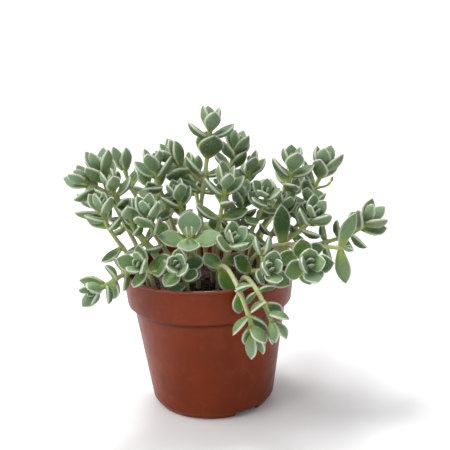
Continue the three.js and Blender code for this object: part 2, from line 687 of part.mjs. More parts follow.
function stemSolid(stem) {
  const points = stem.controls.map(([x, y, z]) => new THREE.Vector3(x, y, z));
  const outline = new THREE.Shape();
  for (let i = 0; i < STEM_SIDES; i++) {
    const turn = (i / STEM_SIDES) * 2 * Math.PI;
    const [x, y] = [STEM_RADIUS * Math.cos(turn), STEM_RADIUS * Math.sin(turn)];
    if (i === 0) outline.moveTo(x, y);
    else outline.lineTo(x, y);
  }
  const steps = stepsOf(stem);
  const extrudePath = new THREE.CubicBezierCurve3(...points);
  return solidOf(new THREE.ExtrudeGeometry(outline, { steps, extrudePath, bevelEnabled: false }));
}

// One leafy stem: its root, its shoots and their leaves, grown together
function makeLeafyStem(plant, stems, leaves) {
  const own = stems.filter((stem) => stem.plant === plant);
  const [x, y] = own[0].points[0];
  const solids = own.map(stemSolid);
  solids.push(uprightRod(STEM_RADIUS, STEM_SIDES, x, y, SOIL_TOP - ROOT_DEPTH, SOIL_TOP + STEM_OVERLAP));
  solids.push(...leaves.filter((leaf) => leaf.plant === plant).map(leafSolid));
  const bodies = wasm.Manifold.union(solids).simplify(SLIVER).decompose();
  const whole = bodies.sort((one, other) => other.volume() - one.volume())[0];
  return meshOf(whole, leafGreen, `stem_${plant}`);
}

const { stems, leaves } = layOut();
const plants = [...new Set(stems.map((stem) => stem.plant))];
const roots = stems.filter((stem) => stem.name === stem.plant).map((stem) => stem.points[0]);

const pottedPlant = new THREE.Group();
pottedPlant.add(makePot(), makeSoil(roots));
for (const plant of plants) {
  pottedPlant.add(makeLeafyStem(plant, stems, leaves));
}

export default pottedPlant;
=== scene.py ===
import json
import math

import bmesh
import bpy
from bpy.props import FloatProperty, FloatVectorProperty, IntProperty, PointerProperty
from mathutils import Matrix, Vector, noise

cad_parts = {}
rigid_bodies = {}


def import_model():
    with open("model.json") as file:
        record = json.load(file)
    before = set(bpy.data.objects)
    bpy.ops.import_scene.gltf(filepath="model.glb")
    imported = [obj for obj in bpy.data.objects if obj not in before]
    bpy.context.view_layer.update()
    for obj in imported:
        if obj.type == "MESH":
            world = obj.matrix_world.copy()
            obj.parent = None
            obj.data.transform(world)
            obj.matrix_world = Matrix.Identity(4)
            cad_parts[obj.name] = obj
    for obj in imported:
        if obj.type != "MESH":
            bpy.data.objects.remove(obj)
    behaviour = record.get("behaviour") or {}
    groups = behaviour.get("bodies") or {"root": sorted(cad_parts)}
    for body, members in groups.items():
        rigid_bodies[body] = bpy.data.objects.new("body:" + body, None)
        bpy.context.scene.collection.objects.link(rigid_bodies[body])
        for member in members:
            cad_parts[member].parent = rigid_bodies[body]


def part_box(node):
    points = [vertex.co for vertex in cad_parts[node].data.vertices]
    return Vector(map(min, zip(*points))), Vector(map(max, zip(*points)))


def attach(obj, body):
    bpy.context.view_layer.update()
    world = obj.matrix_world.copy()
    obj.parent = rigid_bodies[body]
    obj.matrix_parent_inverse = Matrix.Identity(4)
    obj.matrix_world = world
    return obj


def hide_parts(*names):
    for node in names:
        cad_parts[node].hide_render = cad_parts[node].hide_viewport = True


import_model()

bl_info = {
    "name": "Potted Crassula",
    "version": (1, 0, 0),
    "blender": (4, 5, 0),
    "location": "View3D > Sidebar > Plant",
    "description": "A downy succulent in a nursery pot, dressed around its packed frame",
    "category": "Add Mesh",
}

# The plan of the plant is in millimetres, the pieces are in metres
MM = 0.001
DEGREE = math.pi / 180
FULL_TURN = 2 * math.pi
BODY = "root"

# The pot, as the frame has it
POT_HEIGHT = round(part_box("pot")[1].z / MM, 2)
RIM_RADIUS = round(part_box("pot")[1].x / MM, 2)
LIP_HEIGHT = 2
LIP_SLOPE_HEIGHT = 0.5
LIP_OVERHANG = 0.9
LIP_SHINE_Z = POT_HEIGHT - 0.75
COLLAR_FOOT_Z = 52.2
COLLAR_FOOT_RADIUS = 40
BODY_TOP_Z = 50.2
BODY_TOP_RADIUS = 37.1
BODY_FOOT_Z = 3.5
BODY_FOOT_RADIUS = 30.2
BASE_RADIUS = 27.6
WALL = 1.2
BASE_THICK = 1.4
INNER_FOOT_RISE = 0.6
CUT_PAST = 1
LIP_BEVEL_SEGMENTS = 3
EDGE_BEVEL_SEGMENTS = 2
MERGE_WITHIN = 0.001
CUT_MERGE_WITHIN = 0.002
RING_TOLERANCE = 0.01

# Three drainage channels cross the base from the foot inwards
CHANNEL_ANGLES = [-57, 63, 183]
CHANNEL_WIDTH = 13
CHANNEL_HEIGHT = 2.8
CHANNEL_INNER_RADIUS = 13
DRAIN_RADIUS = 2.6
DRAIN_DISTANCE = 20.5
DRAIN_SIDES = 32

# The soil
SOIL_TOP = 62
SOIL_LEVEL = 61
SOIL_BUMP = 0.4
SOIL_WAVES = [
    (0.5, 0.31, 0.27, 1.7),
    (0.5, 0.31, -0.27, 1.7),
    (1, 0.17, -0.23, 0.6),
]
LUMP_SIZE = 3.2
LUMP_ROUGHNESS = 0.7
LUMP_SCALING = 2.1
LUMP_OCTAVES = 4
CLEARANCE = 0.3
ROOT_DEPTH = 9

# The loose pieces on the soil: sizes in mm, length over width, the share that is sunk, and a seed
CRUMBS = dict(smallest=0.5, largest=2.2, stretch=1.2, sink=0.3, seed=101)
FIBRES = dict(smallest=0.35, largest=0.9, stretch=4.5, sink=0.1, seed=211)
GRIT = dict(smallest=0.4, largest=1.1, stretch=1.1, sink=0.2, seed=307)
CRUMB_TURN = 6
CRUMB_TILT = 1.2
CRUMB_LEAST_HEIGHT = 0.6
CRUMB_DENT = 0.45
CRUMB_DENT_SCALE = 2.3
DENT_FIELD = 50

# The stems
STEM_RADIUS = 1.25
CURVE_STEPS = 24
RISE_SHARE = 0.4
AIM_SHARE = 0.35
STRAIGHT_ON_SHARE = 1.2
LEAFLESS_FOOT = 1.5

# The leaves: a spoon shape, widest past the middle, with a sagging midline and cupped margins
LEAF_THICK = 3.8
LEAF_THICK_SHARE = 0.3
LEAF_THINNEST = 1.3
LEAF_BROAD = 0.65
SMALL_LEAF = 7
SMALL_LEAF_BROAD = 0.8
WIDEST_AT = 0.52
BASE_WIDTH_SHARE = 0.32
TIP_POWER = 2.3
BASE_POWER = 1.5
FATTEST_AT = 0.45
BASE_FATNESS = 0.55
FATNESS_POWER = 2.4
SAG = 0.06
CUP = 0.14
UPPER_SHARE = 0.36
ROOT_OUT = 0.5
REACH_SHARE = 0.62
NEARLY_ALONG = 0.9
USUAL_GAP = 1
PROBE_SECTIONS = [0.15, 0.32, 0.5, 0.68, 0.85]
PROBE_PLACES = [-1, -0.5, 0, 0.5, 1]

# Pairs of leaves from a shoot's tip down: distance, angle from the stem, share of the leaf's length
LADDER = [
    (0.4, 6, 0.45),
    (1.5, 19, 0.84),
    (3, 29, 1),
    (6.5, 46, 1.04),
    (11.5, 60, 1.04),
    (17.5, 70, 1),
    (24.5, 78, 0.95),
    (32, 84, 0.9),
]

# Where a leaf would touch another stem's leaf it is bent, turned or made smaller, in this order
TRIES = [
    (0, 0, 1),
    (-12, 0, 1),
    (12, 0, 1),
    (0, 12, 1),
    (0, -12, 1),
    (-24, 0, 0.95),
    (20, 0, 0.9),
    (0, 22, 0.9),
    (0, -22, 0.9),
    (-35, 0, 0.85),
    (0, 0, 0.75),
    (-15, 15, 0.75),
    (-15, -15, 0.75),
    (-30, 0, 0.65),
    (0, 0, 0.55),
]
LEAF_GAP = 0.55
POT_GAP = 0.62
OVER_SOIL = 1
ROOTED_WITHIN = 2.5
STEM_FREE_WITHIN = 4

# No two leaves are quite alike: the spread of their lean and turn in degrees and of their length
LEAN_SPREAD = 10
BUD_LEAN_SPREAD = 3
BUD_WITHIN = 1
LEAST_LEAN = 6
TURN_SPREAD = 12
LENGTH_SPREAD = 0.14
SEED_STEP = 7919
SEED_START = 17

# Each shoot has a root in the soil or a place back from its parent's tip, a tip, the way the tip aims,
# its leaf length, the roll of its leaf pairs, and how many pairs it has. Every shoot of a stem names it.
# own lists pairs outside the ladder: distance, angle, length, roll, twist and, where it is not the
# shoot's, the share of breadth.
SHOOTS = [
    dict(name="creeping", root=(18, -12), tip=(64, -19, 79), aim=(1, 0, -0.08), leaf=17, roll=90,
         pairs=0, lift=0.55, broad=0.45,
         own=[(0.5, 40, 5, 90, 0), (2.5, 72, 17, 0, 65), (29, 82, 18, 0, 65)]),
    dict(name="creeping_rosette", parent="creeping", back=28, tip=(44, -42, 79), aim=(0.1, -0.8, 0.6),
         leaf=12, roll=10, pairs=6, open=1.35, broad=0.72),
    dict(name="crown", root=(-5, 3), tip=(4, 0, 137), aim=(0.12, -0.05, 1), leaf=12.5, roll=15,
         pairs=4, open=1.15, own=[(16, 34, 14, -5, 0, 0.86), (25, 65, 12, 90, 0), (33, 65, 12, 60, 0)]),
    dict(name="crown_side", parent="crown", back=30, tip=(-15, 5, 122), aim=(-0.25, -0.1, 1), leaf=12,
         roll=-30, pairs=5),
    dict(name="broad", root=(-5, -14), tip=(-8, -27, 91), aim=(0.05, -0.6, 0.8), leaf=13, roll=90,
         pairs=1, broad=0.76,
         own=[(2.5, 70, 12, 90, 0, 0.85), (4, 82, 14.5, 0, 0, 0.64), (14, 80, 11, 90, 0)]),
    dict(name="front_left", root=(-20, -26), tip=(-31, -37, 81), aim=(-0.1, -0.8, 0.6), leaf=11,
         roll=40, pairs=5, open=1.25, lift=0.6, own=[(9, 100, 12, 30, 0)]),
    dict(name="front_middle", root=(-10, -27), tip=(-14, -39, 80.5), aim=(0.1, -0.8, 0.6), leaf=10.5,
         roll=45, pairs=6, open=1.25, lift=0.6),
    dict(name="trailing", root=(4, -24), tip=(18, -53, 52), aim=(0.1, 0.05, -1), leaf=11.5, roll=60,
         pairs=0, lift=0.98,
         own=[(0.6, 14, 11, 0, 0), (4, 40, 10.5, 90, 0), (8, 60, 11, 0, 0), (20, 75, 11, 90, 0),
              (43, 90, 14, -15, 0, 0.75)]),
    dict(name="trailing_short", root=(14, -31), tip=(27, -54, 55), aim=(0.25, -0.4, -0.8), leaf=10,
         roll=30, pairs=5, open=1.15, lift=0.85, own=[(18, 70, 8, 60, 0)]),
    dict(name="front_right", root=(15, -23), tip=(27, -42, 78), aim=(-0.1, -0.75, 0.65), leaf=11,
         roll=20, pairs=6, open=1.3, lift=0.55, broad=0.7),
    dict(name="front_right_bud", parent="front_right", back=11, tip=(24, -38, 84), aim=(0, -0.2, 1),
         leaf=10, roll=80, pairs=0, own=[(0.8, 14, 10, 0, 0)]),
    dict(name="centre_front", root=(5, -17), tip=(12, -31, 89), aim=(0.2, -0.6, 0.8), leaf=11,
         roll=30, pairs=7, open=1.2, broad=0.68),
    dict(name="far_right", root=(30, 1), tip=(77, -8, 90), aim=(0.4, -0.3, 0.9), leaf=12.5, roll=30,
         pairs=7, open=1.1, lift=0.3, broad=0.66),
    dict(name="right_open", root=(25, -9), tip=(50, -18, 96), aim=(0.15, -0.6, 0.8), leaf=11.5,
         roll=35, pairs=7, open=1.2, broad=0.66),
    dict(name="right_tall", root=(20, 4), tip=(41.5, -2, 117), aim=(0.05, -0.15, 1), leaf=12.5, roll=12,
         pairs=7, open=1.15, broad=0.66),
    dict(name="right_front", root=(14, -5), tip=(28, -13, 106), aim=(-0.15, -0.7, 0.7), leaf=10.5,
         roll=60, pairs=7, open=1.25),
    dict(name="right_outer", root=(27, 11), tip=(58, 7, 114), aim=(0.15, -0.1, 1), leaf=13, roll=55,
         pairs=7),
    dict(name="right_outer_bud", parent="right_outer", back=15, tip=(60, -3, 108), aim=(0.5, -0.2, 1),
         leaf=5, roll=0, pairs=1),
    dict(name="centre", root=(2, -6), tip=(9.5, -14, 112), aim=(0.1, -0.2, 1), leaf=11.5, roll=15,
         pairs=5, broad=0.58, own=[(19, 70, 13, 85, 0, 0.7), (27, 75, 11, 0, 0)]),
    dict(name="crown_right", root=(9, 12), tip=(16, 11, 125), aim=(0.3, 0, 1), leaf=11.5, roll=50,
         pairs=6),
    dict(name="middle_back", root=(16, 14), tip=(22, 9, 116), aim=(0.05, -0.2, 1), leaf=10.5,
         roll=20, pairs=6),
    dict(name="left_tall", root=(-13, 9), tip=(-23, -2, 119.5), aim=(-0.05, -0.15, 1), leaf=12, roll=-20,
         pairs=7, open=1.05),
    dict(name="far_left", root=(-28, -19), tip=(-47.5, -8, 120), aim=(-0.1, 0, 1), leaf=12.5, roll=60,
         pairs=5, own=[(30, 80, 10.5, 0, 0), (38, 80, 10.5, 60, 0)]),
    dict(name="far_left_side", parent="far_left", back=14, tip=(-55, -11, 115), aim=(-0.45, -0.1, 0.9),
         leaf=12, roll=50, pairs=5, open=1.15, broad=0.68),
    dict(name="left_slant", root=(-22, -11), tip=(-42, -18, 114), aim=(-0.1, -0.2, 1), leaf=10.5,
         roll=20, pairs=6),
    dict(name="left_lone", root=(-20, 13), tip=(-38, 6, 116.5), aim=(-0.15, 0, 1), leaf=12, roll=60,
         pairs=1, own=[(0.9, 16, 12, 0, 0), (9.5, 55, 9, 90, 0), (18, 70, 11, 0, 0), (26, 70, 11, 90, 0)]),
    dict(name="left_pale", root=(-33, -12), tip=(-46, -24, 105), aim=(0.1, -0.3, 1), leaf=11,
         roll=45, pairs=5, own=[(24, 88, 11, 60, 0)]),
    dict(name="left_round", root=(-19, -19), tip=(-35, -24, 102), aim=(-0.05, -0.3, 1), leaf=9.5,
         roll=20, pairs=6),
    dict(name="left_middle", root=(-13, -18), tip=(-26, -28, 103), aim=(0.05, -0.3, 1), leaf=11,
         roll=60, pairs=7, gap=1.1),
    dict(name="rim_left", root=(-25, -26), tip=(-50, -41, 71), aim=(-0.45, -0.8, 0.1), leaf=10.5,
         roll=50, pairs=6, open=1.2, lift=0.85),
    dict(name="inner_left", root=(-9, -4), tip=(-13, -8, 106), aim=(-0.2, -0.2, 1), leaf=10.5,
         roll=30, pairs=5),
    dict(name="inner_right", root=(9, 0), tip=(18, -2, 103), aim=(0.1, -0.2, 1), leaf=10.5,
         roll=50, pairs=6),
    dict(name="inner_far_right", root=(24, -3), tip=(37, -7, 99), aim=(0.1, -0.3, 1), leaf=10.5,
         roll=20, pairs=6),
    dict(name="deep_right", root=(31, -6), tip=(50, 1, 99), aim=(0.1, -0.2, 1), leaf=11,
         roll=65, pairs=6),
    dict(name="back_left_tall", root=(-13, 17), tip=(-30, 30, 106), aim=(-0.3, 0.3, 1), leaf=12.5,
         roll=15, pairs=5),
    dict(name="back_tall", root=(-1, 20), tip=(-6, 35, 108), aim=(-0.1, 0.4, 0.9), leaf=12.5, roll=40,
         pairs=5),
    dict(name="back_middle", root=(10, 21), tip=(22, 34, 104), aim=(0.2, 0.4, 0.9), leaf=12.5, roll=10,
         pairs=5),
    dict(name="back_right", root=(21, 19), tip=(46, 29, 101), aim=(0.4, 0.3, 0.9), leaf=12.5, roll=70,
         pairs=5),
    dict(name="back_left", root=(-24, 16), tip=(-56, 18, 98), aim=(-0.5, 0.2, 0.9), leaf=12.5, roll=30,
         pairs=5),
    dict(name="back_right_low", root=(26, 22), tip=(40, 54, 82), aim=(0.3, 0.8, 0.3), leaf=11.5,
         roll=30, pairs=4, lift=0.5),
    dict(name="back_left_low", root=(-12, 28), tip=(-22, 54, 82), aim=(-0.2, 0.9, 0.3), leaf=11.5,
         roll=60, pairs=4, lift=0.5),
    dict(name="back_trailing", root=(5, 31), tip=(5, 57, 70), aim=(0.1, 0.8, -0.4), leaf=11.5, roll=10,
         pairs=4, lift=0.75),
]
FLOWER_BUD = "right_outer_bud"

# What the finished mesh adds to the plan
LEAF_SIDES = 16
LEAF_RINGS = 10
PLUMP_POWER = 1.2
TIP_FATNESS_POWER = 2.2
TIP_FATNESS_ROUND = 0.75
YOUNG_WITHIN = 9
STEM_SIDES = 10
STEM_RING_GAP = 1.6
STEM_TAPER = 0.16
NODE_SWELL = 0.3
NODE_SPREAD = 1.5
FEWEST_STEM_RINGS = 6
FLOWER_STALK_SHARE = 0.6
POLE_RADIUS = 1e-4
ACROSS_HINT = [0.3, 1, 0.2]
SOIL_RING_COUNT = 46
SHARP = 30 * DEGREE

# The fringe: a margin's length over the leaf's, where it starts and ends, and how the hairs lean
FRINGE_CURVE = 1.15
FRINGE_FEWEST = 4
FRINGE_FROM = 0.1
FRINGE_TO = 0.995
FRINGE_FULL_LEAF = 12
FRINGE_LEAST_LEAF = 0.55
FRINGE_LEAN = 0.35
FRINGE_LEAN_SPREAD = 0.5
FRINGE_RISE_SPREAD = 0.8
FRINGE_LEAST_HAIR = 0.6
MARGIN_STEP = 0.004

# The short down on the faces and stems
DOWN_FULL_LEAF = 13
DOWN_LEAST = 0.1
DOWN_MOST = 1.2
DOWN_FROM = 0.12
DOWN_SPAN = 0.84
DOWN_SIDEWAYS = 0.7
DOWN_FORWARD = 0.5
DOWN_LEAST_HAIR = 0.5
STEM_DOWN_LEAN = 0.6
STEM_DOWN_BACKWARD = 0.6
HAIR_SINK = 0.05
HAIR_SIDES = 3
HAIRS_AT_ONCE = 40

# Shares of the plastic's and the leaf's layers of colour, from the bottom layer up
DUST_FILM = 0.1
DUST_SPECKS = 0.7
# The FOLD numbers are painted shade darkening the fold under the collar: its share, and its reach in mm
FOLD_SHADE_SHARE = 0.55
FOLD_DEPTH = 1.6
FOLD_OVER = 0.3
FOLD_UNDER = 0.2
COARSE_GRAIN = 0.6
BODY_COAT = 0.14
LIP_COAT = 1.0
# Painted shade: the upper leaves' middles are darker by their height over the floor
HIGH_SHADE_SHARE = 0.6
HIGH_WANDER = 0.02
UNDER_SHARE = 0.3
DOWNY_SHARE = 0.7
DOWNY_WANDER = 1.4
YOUNG_SHARE = 0.55
FOOT_SHARE = 0.8
STIPPLE_SHARE = 0.3
STREAK_WANDER = 0.3
STREAK_SHARE = 0.3
FLOOR_CLOUD = 0.03
FLOOR_CLOUD_COLOUR = (0.6, 0.6, 0.6)

# Each light's place, the point that it faces and its size, in metres
PLANT_MIDDLE = (0, 0, 0.08)
LIGHTS = {
    "key": ((-0.65, -0.2, 0.72), PLANT_MIDDLE, 0.9),
    "fill": ((0.45, -0.9, 0.5), PLANT_MIDDLE, 0.8),
    "top": ((-0.1, 0.2, 0.9), PLANT_MIDDLE, 0.3),
    "back": ((0, 1.9, 1.6), (0, 3, 0.2), 1.6),
}
SENSOR_WIDTH = 36

# The seeded draw
DRAW_FACTOR = 48271
DRAW_RANGE = 2147483647


def paint(red, green, blue):
    """A colour given as 0 to 255 in a picture, as the linear values that a shader takes."""
    def linear(value):
        share = value / 255
        return share / 12.92 if share <= 0.04045 else ((share + 0.055) / 1.055) ** 2.4
    return linear(red), linear(green), linear(blue)


def colour_property(name, description, default):
    return FloatVectorProperty(name=name, description=description, subtype="COLOR", size=3,
                               min=0, max=1, default=default)


class PotSettings(bpy.types.PropertyGroup):
    segments: IntProperty(name="Segments", description="Faces round the pot", default=128, min=24)
    lip_bevel: FloatProperty(name="Lip Bevel", description="Rounding of the rolled lip's edges",
                             default=0.8 * MM, min=0, unit="LENGTH")
    edge_bevel: FloatProperty(name="Edge Bevel", description="Rounding of the collar's and the foot's edges",
                              default=0.35 * MM, min=0, unit="LENGTH")
    colour: colour_property("Colour", "Brick-brown plastic", paint(118, 44, 9))
    dark_colour: colour_property("Dark Colour", "The plastic's darker cloudy parts", paint(106, 38, 8))
    dust_colour: colour_property("Dust Colour", "Dried dust and lime on the plastic", paint(178, 120, 88))
    # Painted shade: the dark colour laid in the fold under the collar
    fold_shade_colour: colour_property("Fold Colour", "The shaded fold under the collar", paint(44, 16, 8))


class SoilSettings(bpy.types.PropertyGroup):
    segments: IntProperty(name="Segments", description="Faces round the soil", default=160, min=24)
    roughness: FloatProperty(name="Roughness", description="Height of the surface's lumps",
                             default=0.9 * MM, min=0, unit="LENGTH")
    crumbs: IntProperty(name="Crumbs", description="Loose crumbs of peat on the surface", default=1500, min=0)
    fibres: IntProperty(name="Fibres", description="Pale fibres and chips of bark", default=150, min=0)
    grit: IntProperty(name="Grit", description="White grains", default=70, min=0)
    colour: colour_property("Colour", "Damp peat", paint(48, 34, 28))
    dry_colour: colour_property("Dry Colour", "Dry crumbs on top", paint(92, 68, 54))
    fibre_colour: colour_property("Fibre Colour", "Bark and fibres", paint(150, 116, 88))
    grit_colour: colour_property("Grit Colour", "White grains", paint(214, 206, 192))


class LeafSettings(bpy.types.PropertyGroup):
    green: colour_property("Green", "The leaf's middle", paint(38, 80, 20))
    fresh_green: colour_property("Fresh Green", "The lighter leaves' middle", paint(86, 126, 36))
    # Painted shade: the darker middle that the upper leaves get by their height
    high_shade_green: colour_property("High Green", "The upper leaves' darker middle", paint(32, 62, 30))
    grey_green: colour_property("Grey Green", "The downy part towards the margin", paint(112, 142, 86))
    young_green: colour_property("Young Green", "The youngest leaves", paint(142, 168, 132))
    base_colour: colour_property("Base Colour", "The leaf's yellowish foot", paint(146, 166, 66))
    tip_colour: colour_property("Tip Colour", "The greyish tips of the sunned leaves", paint(122, 108, 104))
    under_colour: colour_property("Under Colour", "The underside of the older leaves", paint(78, 92, 36))
    margin_colour: colour_property("Margin Colour", "The fringe of white hairs", paint(214, 219, 200))
    bud_colour: colour_property("Bud Colour", "The flower bud", paint(136, 62, 44))


class HairSettings(bpy.types.PropertyGroup):
    margin_length: FloatProperty(name="Margin Length", description="Longest hairs of the margins",
                                 default=0.8 * MM, min=0, unit="LENGTH")
    margin_radius: FloatProperty(name="Margin Radius", description="Radius of those hairs at their root",
                                 default=0.055 * MM, min=0, unit="LENGTH")
    margin_pitch: FloatProperty(name="Margin Pitch", description="Distance between hairs along a margin",
                                default=0.22 * MM, min=0.05 * MM, unit="LENGTH")
    face_length: FloatProperty(name="Face Length", description="Longest hairs on the leaf's faces",
                               default=0.45 * MM, min=0, unit="LENGTH")
    face_radius: FloatProperty(name="Face Radius", description="Radius of those hairs at their root",
                               default=0.035 * MM, min=0, unit="LENGTH")
    face_count: IntProperty(name="Face Count", description="Hairs on the faces of a full-grown leaf",
                            default=44, min=0)
    stem_length: FloatProperty(name="Stem Length", description="Longest hairs on the stems",
                               default=0.7 * MM, min=0, unit="LENGTH")
    stem_per_mm: FloatProperty(name="Stem Number", description="Hairs on each millimetre of stem",
                               default=9, min=0)
    colour: colour_property("Colour", "The hairs", paint(238, 241, 228))


class StemSettings(bpy.types.PropertyGroup):
    young_colour: colour_property("Young Colour", "The stem near its tip", paint(168, 184, 110))
    pale_colour: colour_property("Pale Colour", "The stem's pale middle", paint(184, 188, 138))
    old_colour: colour_property("Old Colour", "The corky stem near the soil", paint(150, 134, 96))


class StageSettings(bpy.types.PropertyGroup):
    floor_size: FloatProperty(name="Floor Size", description="Side of the floor", default=6.0, min=1,
                              unit="LENGTH")
    wall_height: FloatProperty(name="Wall Height", description="Height of the floor's raised back edge",
                               default=1.5, min=0, unit="LENGTH")
    floor_colour: colour_property("Floor Colour", "The plain floor", paint(240, 240, 241))
    camera_back: FloatProperty(name="Camera Back", description="Distance in front of the pot's middle",
                               default=0.380, unit="LENGTH")
    camera_height: FloatProperty(name="Camera Height", description="Camera's height above the floor",
                                 default=0.1854, unit="LENGTH")
    camera_pitch: FloatProperty(name="Camera Pitch", description="How far the camera looks down",
                                default=14.4 * DEGREE, subtype="ANGLE")
    camera_yaw: FloatProperty(name="Camera Yaw", description="How far the camera looks to the right",
                              default=1.34 * DEGREE, subtype="ANGLE")
    camera_roll: FloatProperty(name="Camera Roll", description="How far the camera leans",
                               default=-2.24 * DEGREE, subtype="ANGLE")
    lens: FloatProperty(name="Lens", description="Focal length in mm on a 36 mm sensor", default=65.1)
    world_strength: FloatProperty(name="World Strength", description="Light from all round", default=0.46)
    key_power: FloatProperty(name="Key Power", description="Large soft light, upper left in front",
                             default=7.0)
    fill_power: FloatProperty(name="Fill Power", description="Soft light from the right in front",
                              default=1.0)
    top_power: FloatProperty(name="Top Power", description="Light from above and behind", default=6.0)
    back_power: FloatProperty(name="Back Power", description="Light on the floor behind", default=60.0)


# Vectors as plain lists of three numbers, in millimetres
def add(a, b, k=1):
    return [a[0] + b[0] * k, a[1] + b[1] * k, a[2] + b[2] * k]


def dot(a, b):
    return a[0] * b[0] + a[1] * b[1] + a[2] * b[2]


def cross(a, b):
    return [a[1] * b[2] - a[2] * b[1], a[2] * b[0] - a[0] * b[2], a[0] * b[1] - a[1] * b[0]]


def scaled(a, k):
    return [a[0] * k, a[1] * k, a[2] * k]


def unit(a):
    return scaled(a, 1 / math.sqrt(dot(a, a)))


def away(a, b):
    return math.sqrt((a[0] - b[0]) ** 2 + (a[1] - b[1]) ** 2 + (a[2] - b[2]) ** 2)


def seeded(seed):
    """A repeatable series of numbers between 0 and 1."""
    state = seed
    while True:
        state = (state * DRAW_FACTOR) % DRAW_RANGE
        yield state / DRAW_RANGE


def clamped(value, low=0.0, high=1.0):
    return min(max(value, low), high)


def curve_point(c, t):
    s = 1 - t
    k = [s * s * s, 3 * s * s * t, 3 * s * t * t, t * t * t]
    return [c[0][i] * k[0] + c[1][i] * k[1] + c[2][i] * k[2] + c[3][i] * k[3] for i in range(3)]


def curve_slope(c, t):
    s = 1 - t
    k = [3 * s * s, 6 * s * t, 3 * t * t]
    return [(c[1][i] - c[0][i]) * k[0] + (c[2][i] - c[1][i]) * k[1] + (c[3][i] - c[2][i]) * k[2]
            for i in range(3)]


class Stem:
    """One shoot's centre line, a curve of four controls."""

    def __init__(self, shoot, parent):
        rise = [0, 0, 1]
        if parent:
            t = parent.parameter_back(shoot["back"])
            start = curve_point(parent.controls, t)
            onwards = unit(curve_slope(parent.controls, t))
            rise = add(onwards, unit(add(shoot["tip"], start, -1)), STRAIGHT_ON_SHARE)
        else:
            start = [shoot["root"][0], shoot["root"][1], SOIL_TOP]
        reach = away(start, shoot["tip"])
        second = add(start, unit(rise), shoot.get("lift", RISE_SHARE) * reach)
        third = add(shoot["tip"], unit(shoot["aim"]), -AIM_SHARE * reach)
        self.name = shoot["name"]
        self.rooted = parent is None
        self.plant = parent.plant if parent else shoot["name"]
        self.controls = [start, second, third, list(shoot["tip"])]
        self.points = [curve_point(self.controls, i / CURVE_STEPS) for i in range(CURVE_STEPS + 1)]
        self.run = [0]
        for before, after in zip(self.points, self.points[1:]):
            self.run.append(self.run[-1] + away(before, after))
        self.long = self.run[CURVE_STEPS]

    def parameter_back(self, back):
        """Where the curve is at a distance back from its tip, as a share of its parameter."""
        goal = self.long - back
        if goal <= 0:
            return 0
        i = 0
        while i < CURVE_STEPS - 1 and self.run[i + 1] < goal:
            i += 1
        part = (goal - self.run[i]) / (self.run[i + 1] - self.run[i])
        return (i + part) / CURVE_STEPS

    def place(self, up):
        """The point at a distance up the stem, and the way that the stem runs there."""
        if up < 0:
            return add(self.controls[0], [0, 0, 1], up), [0, 0, 1]
        t = self.parameter_back(self.long - up)
        return curve_point(self.controls, t), unit(curve_slope(self.controls, t))


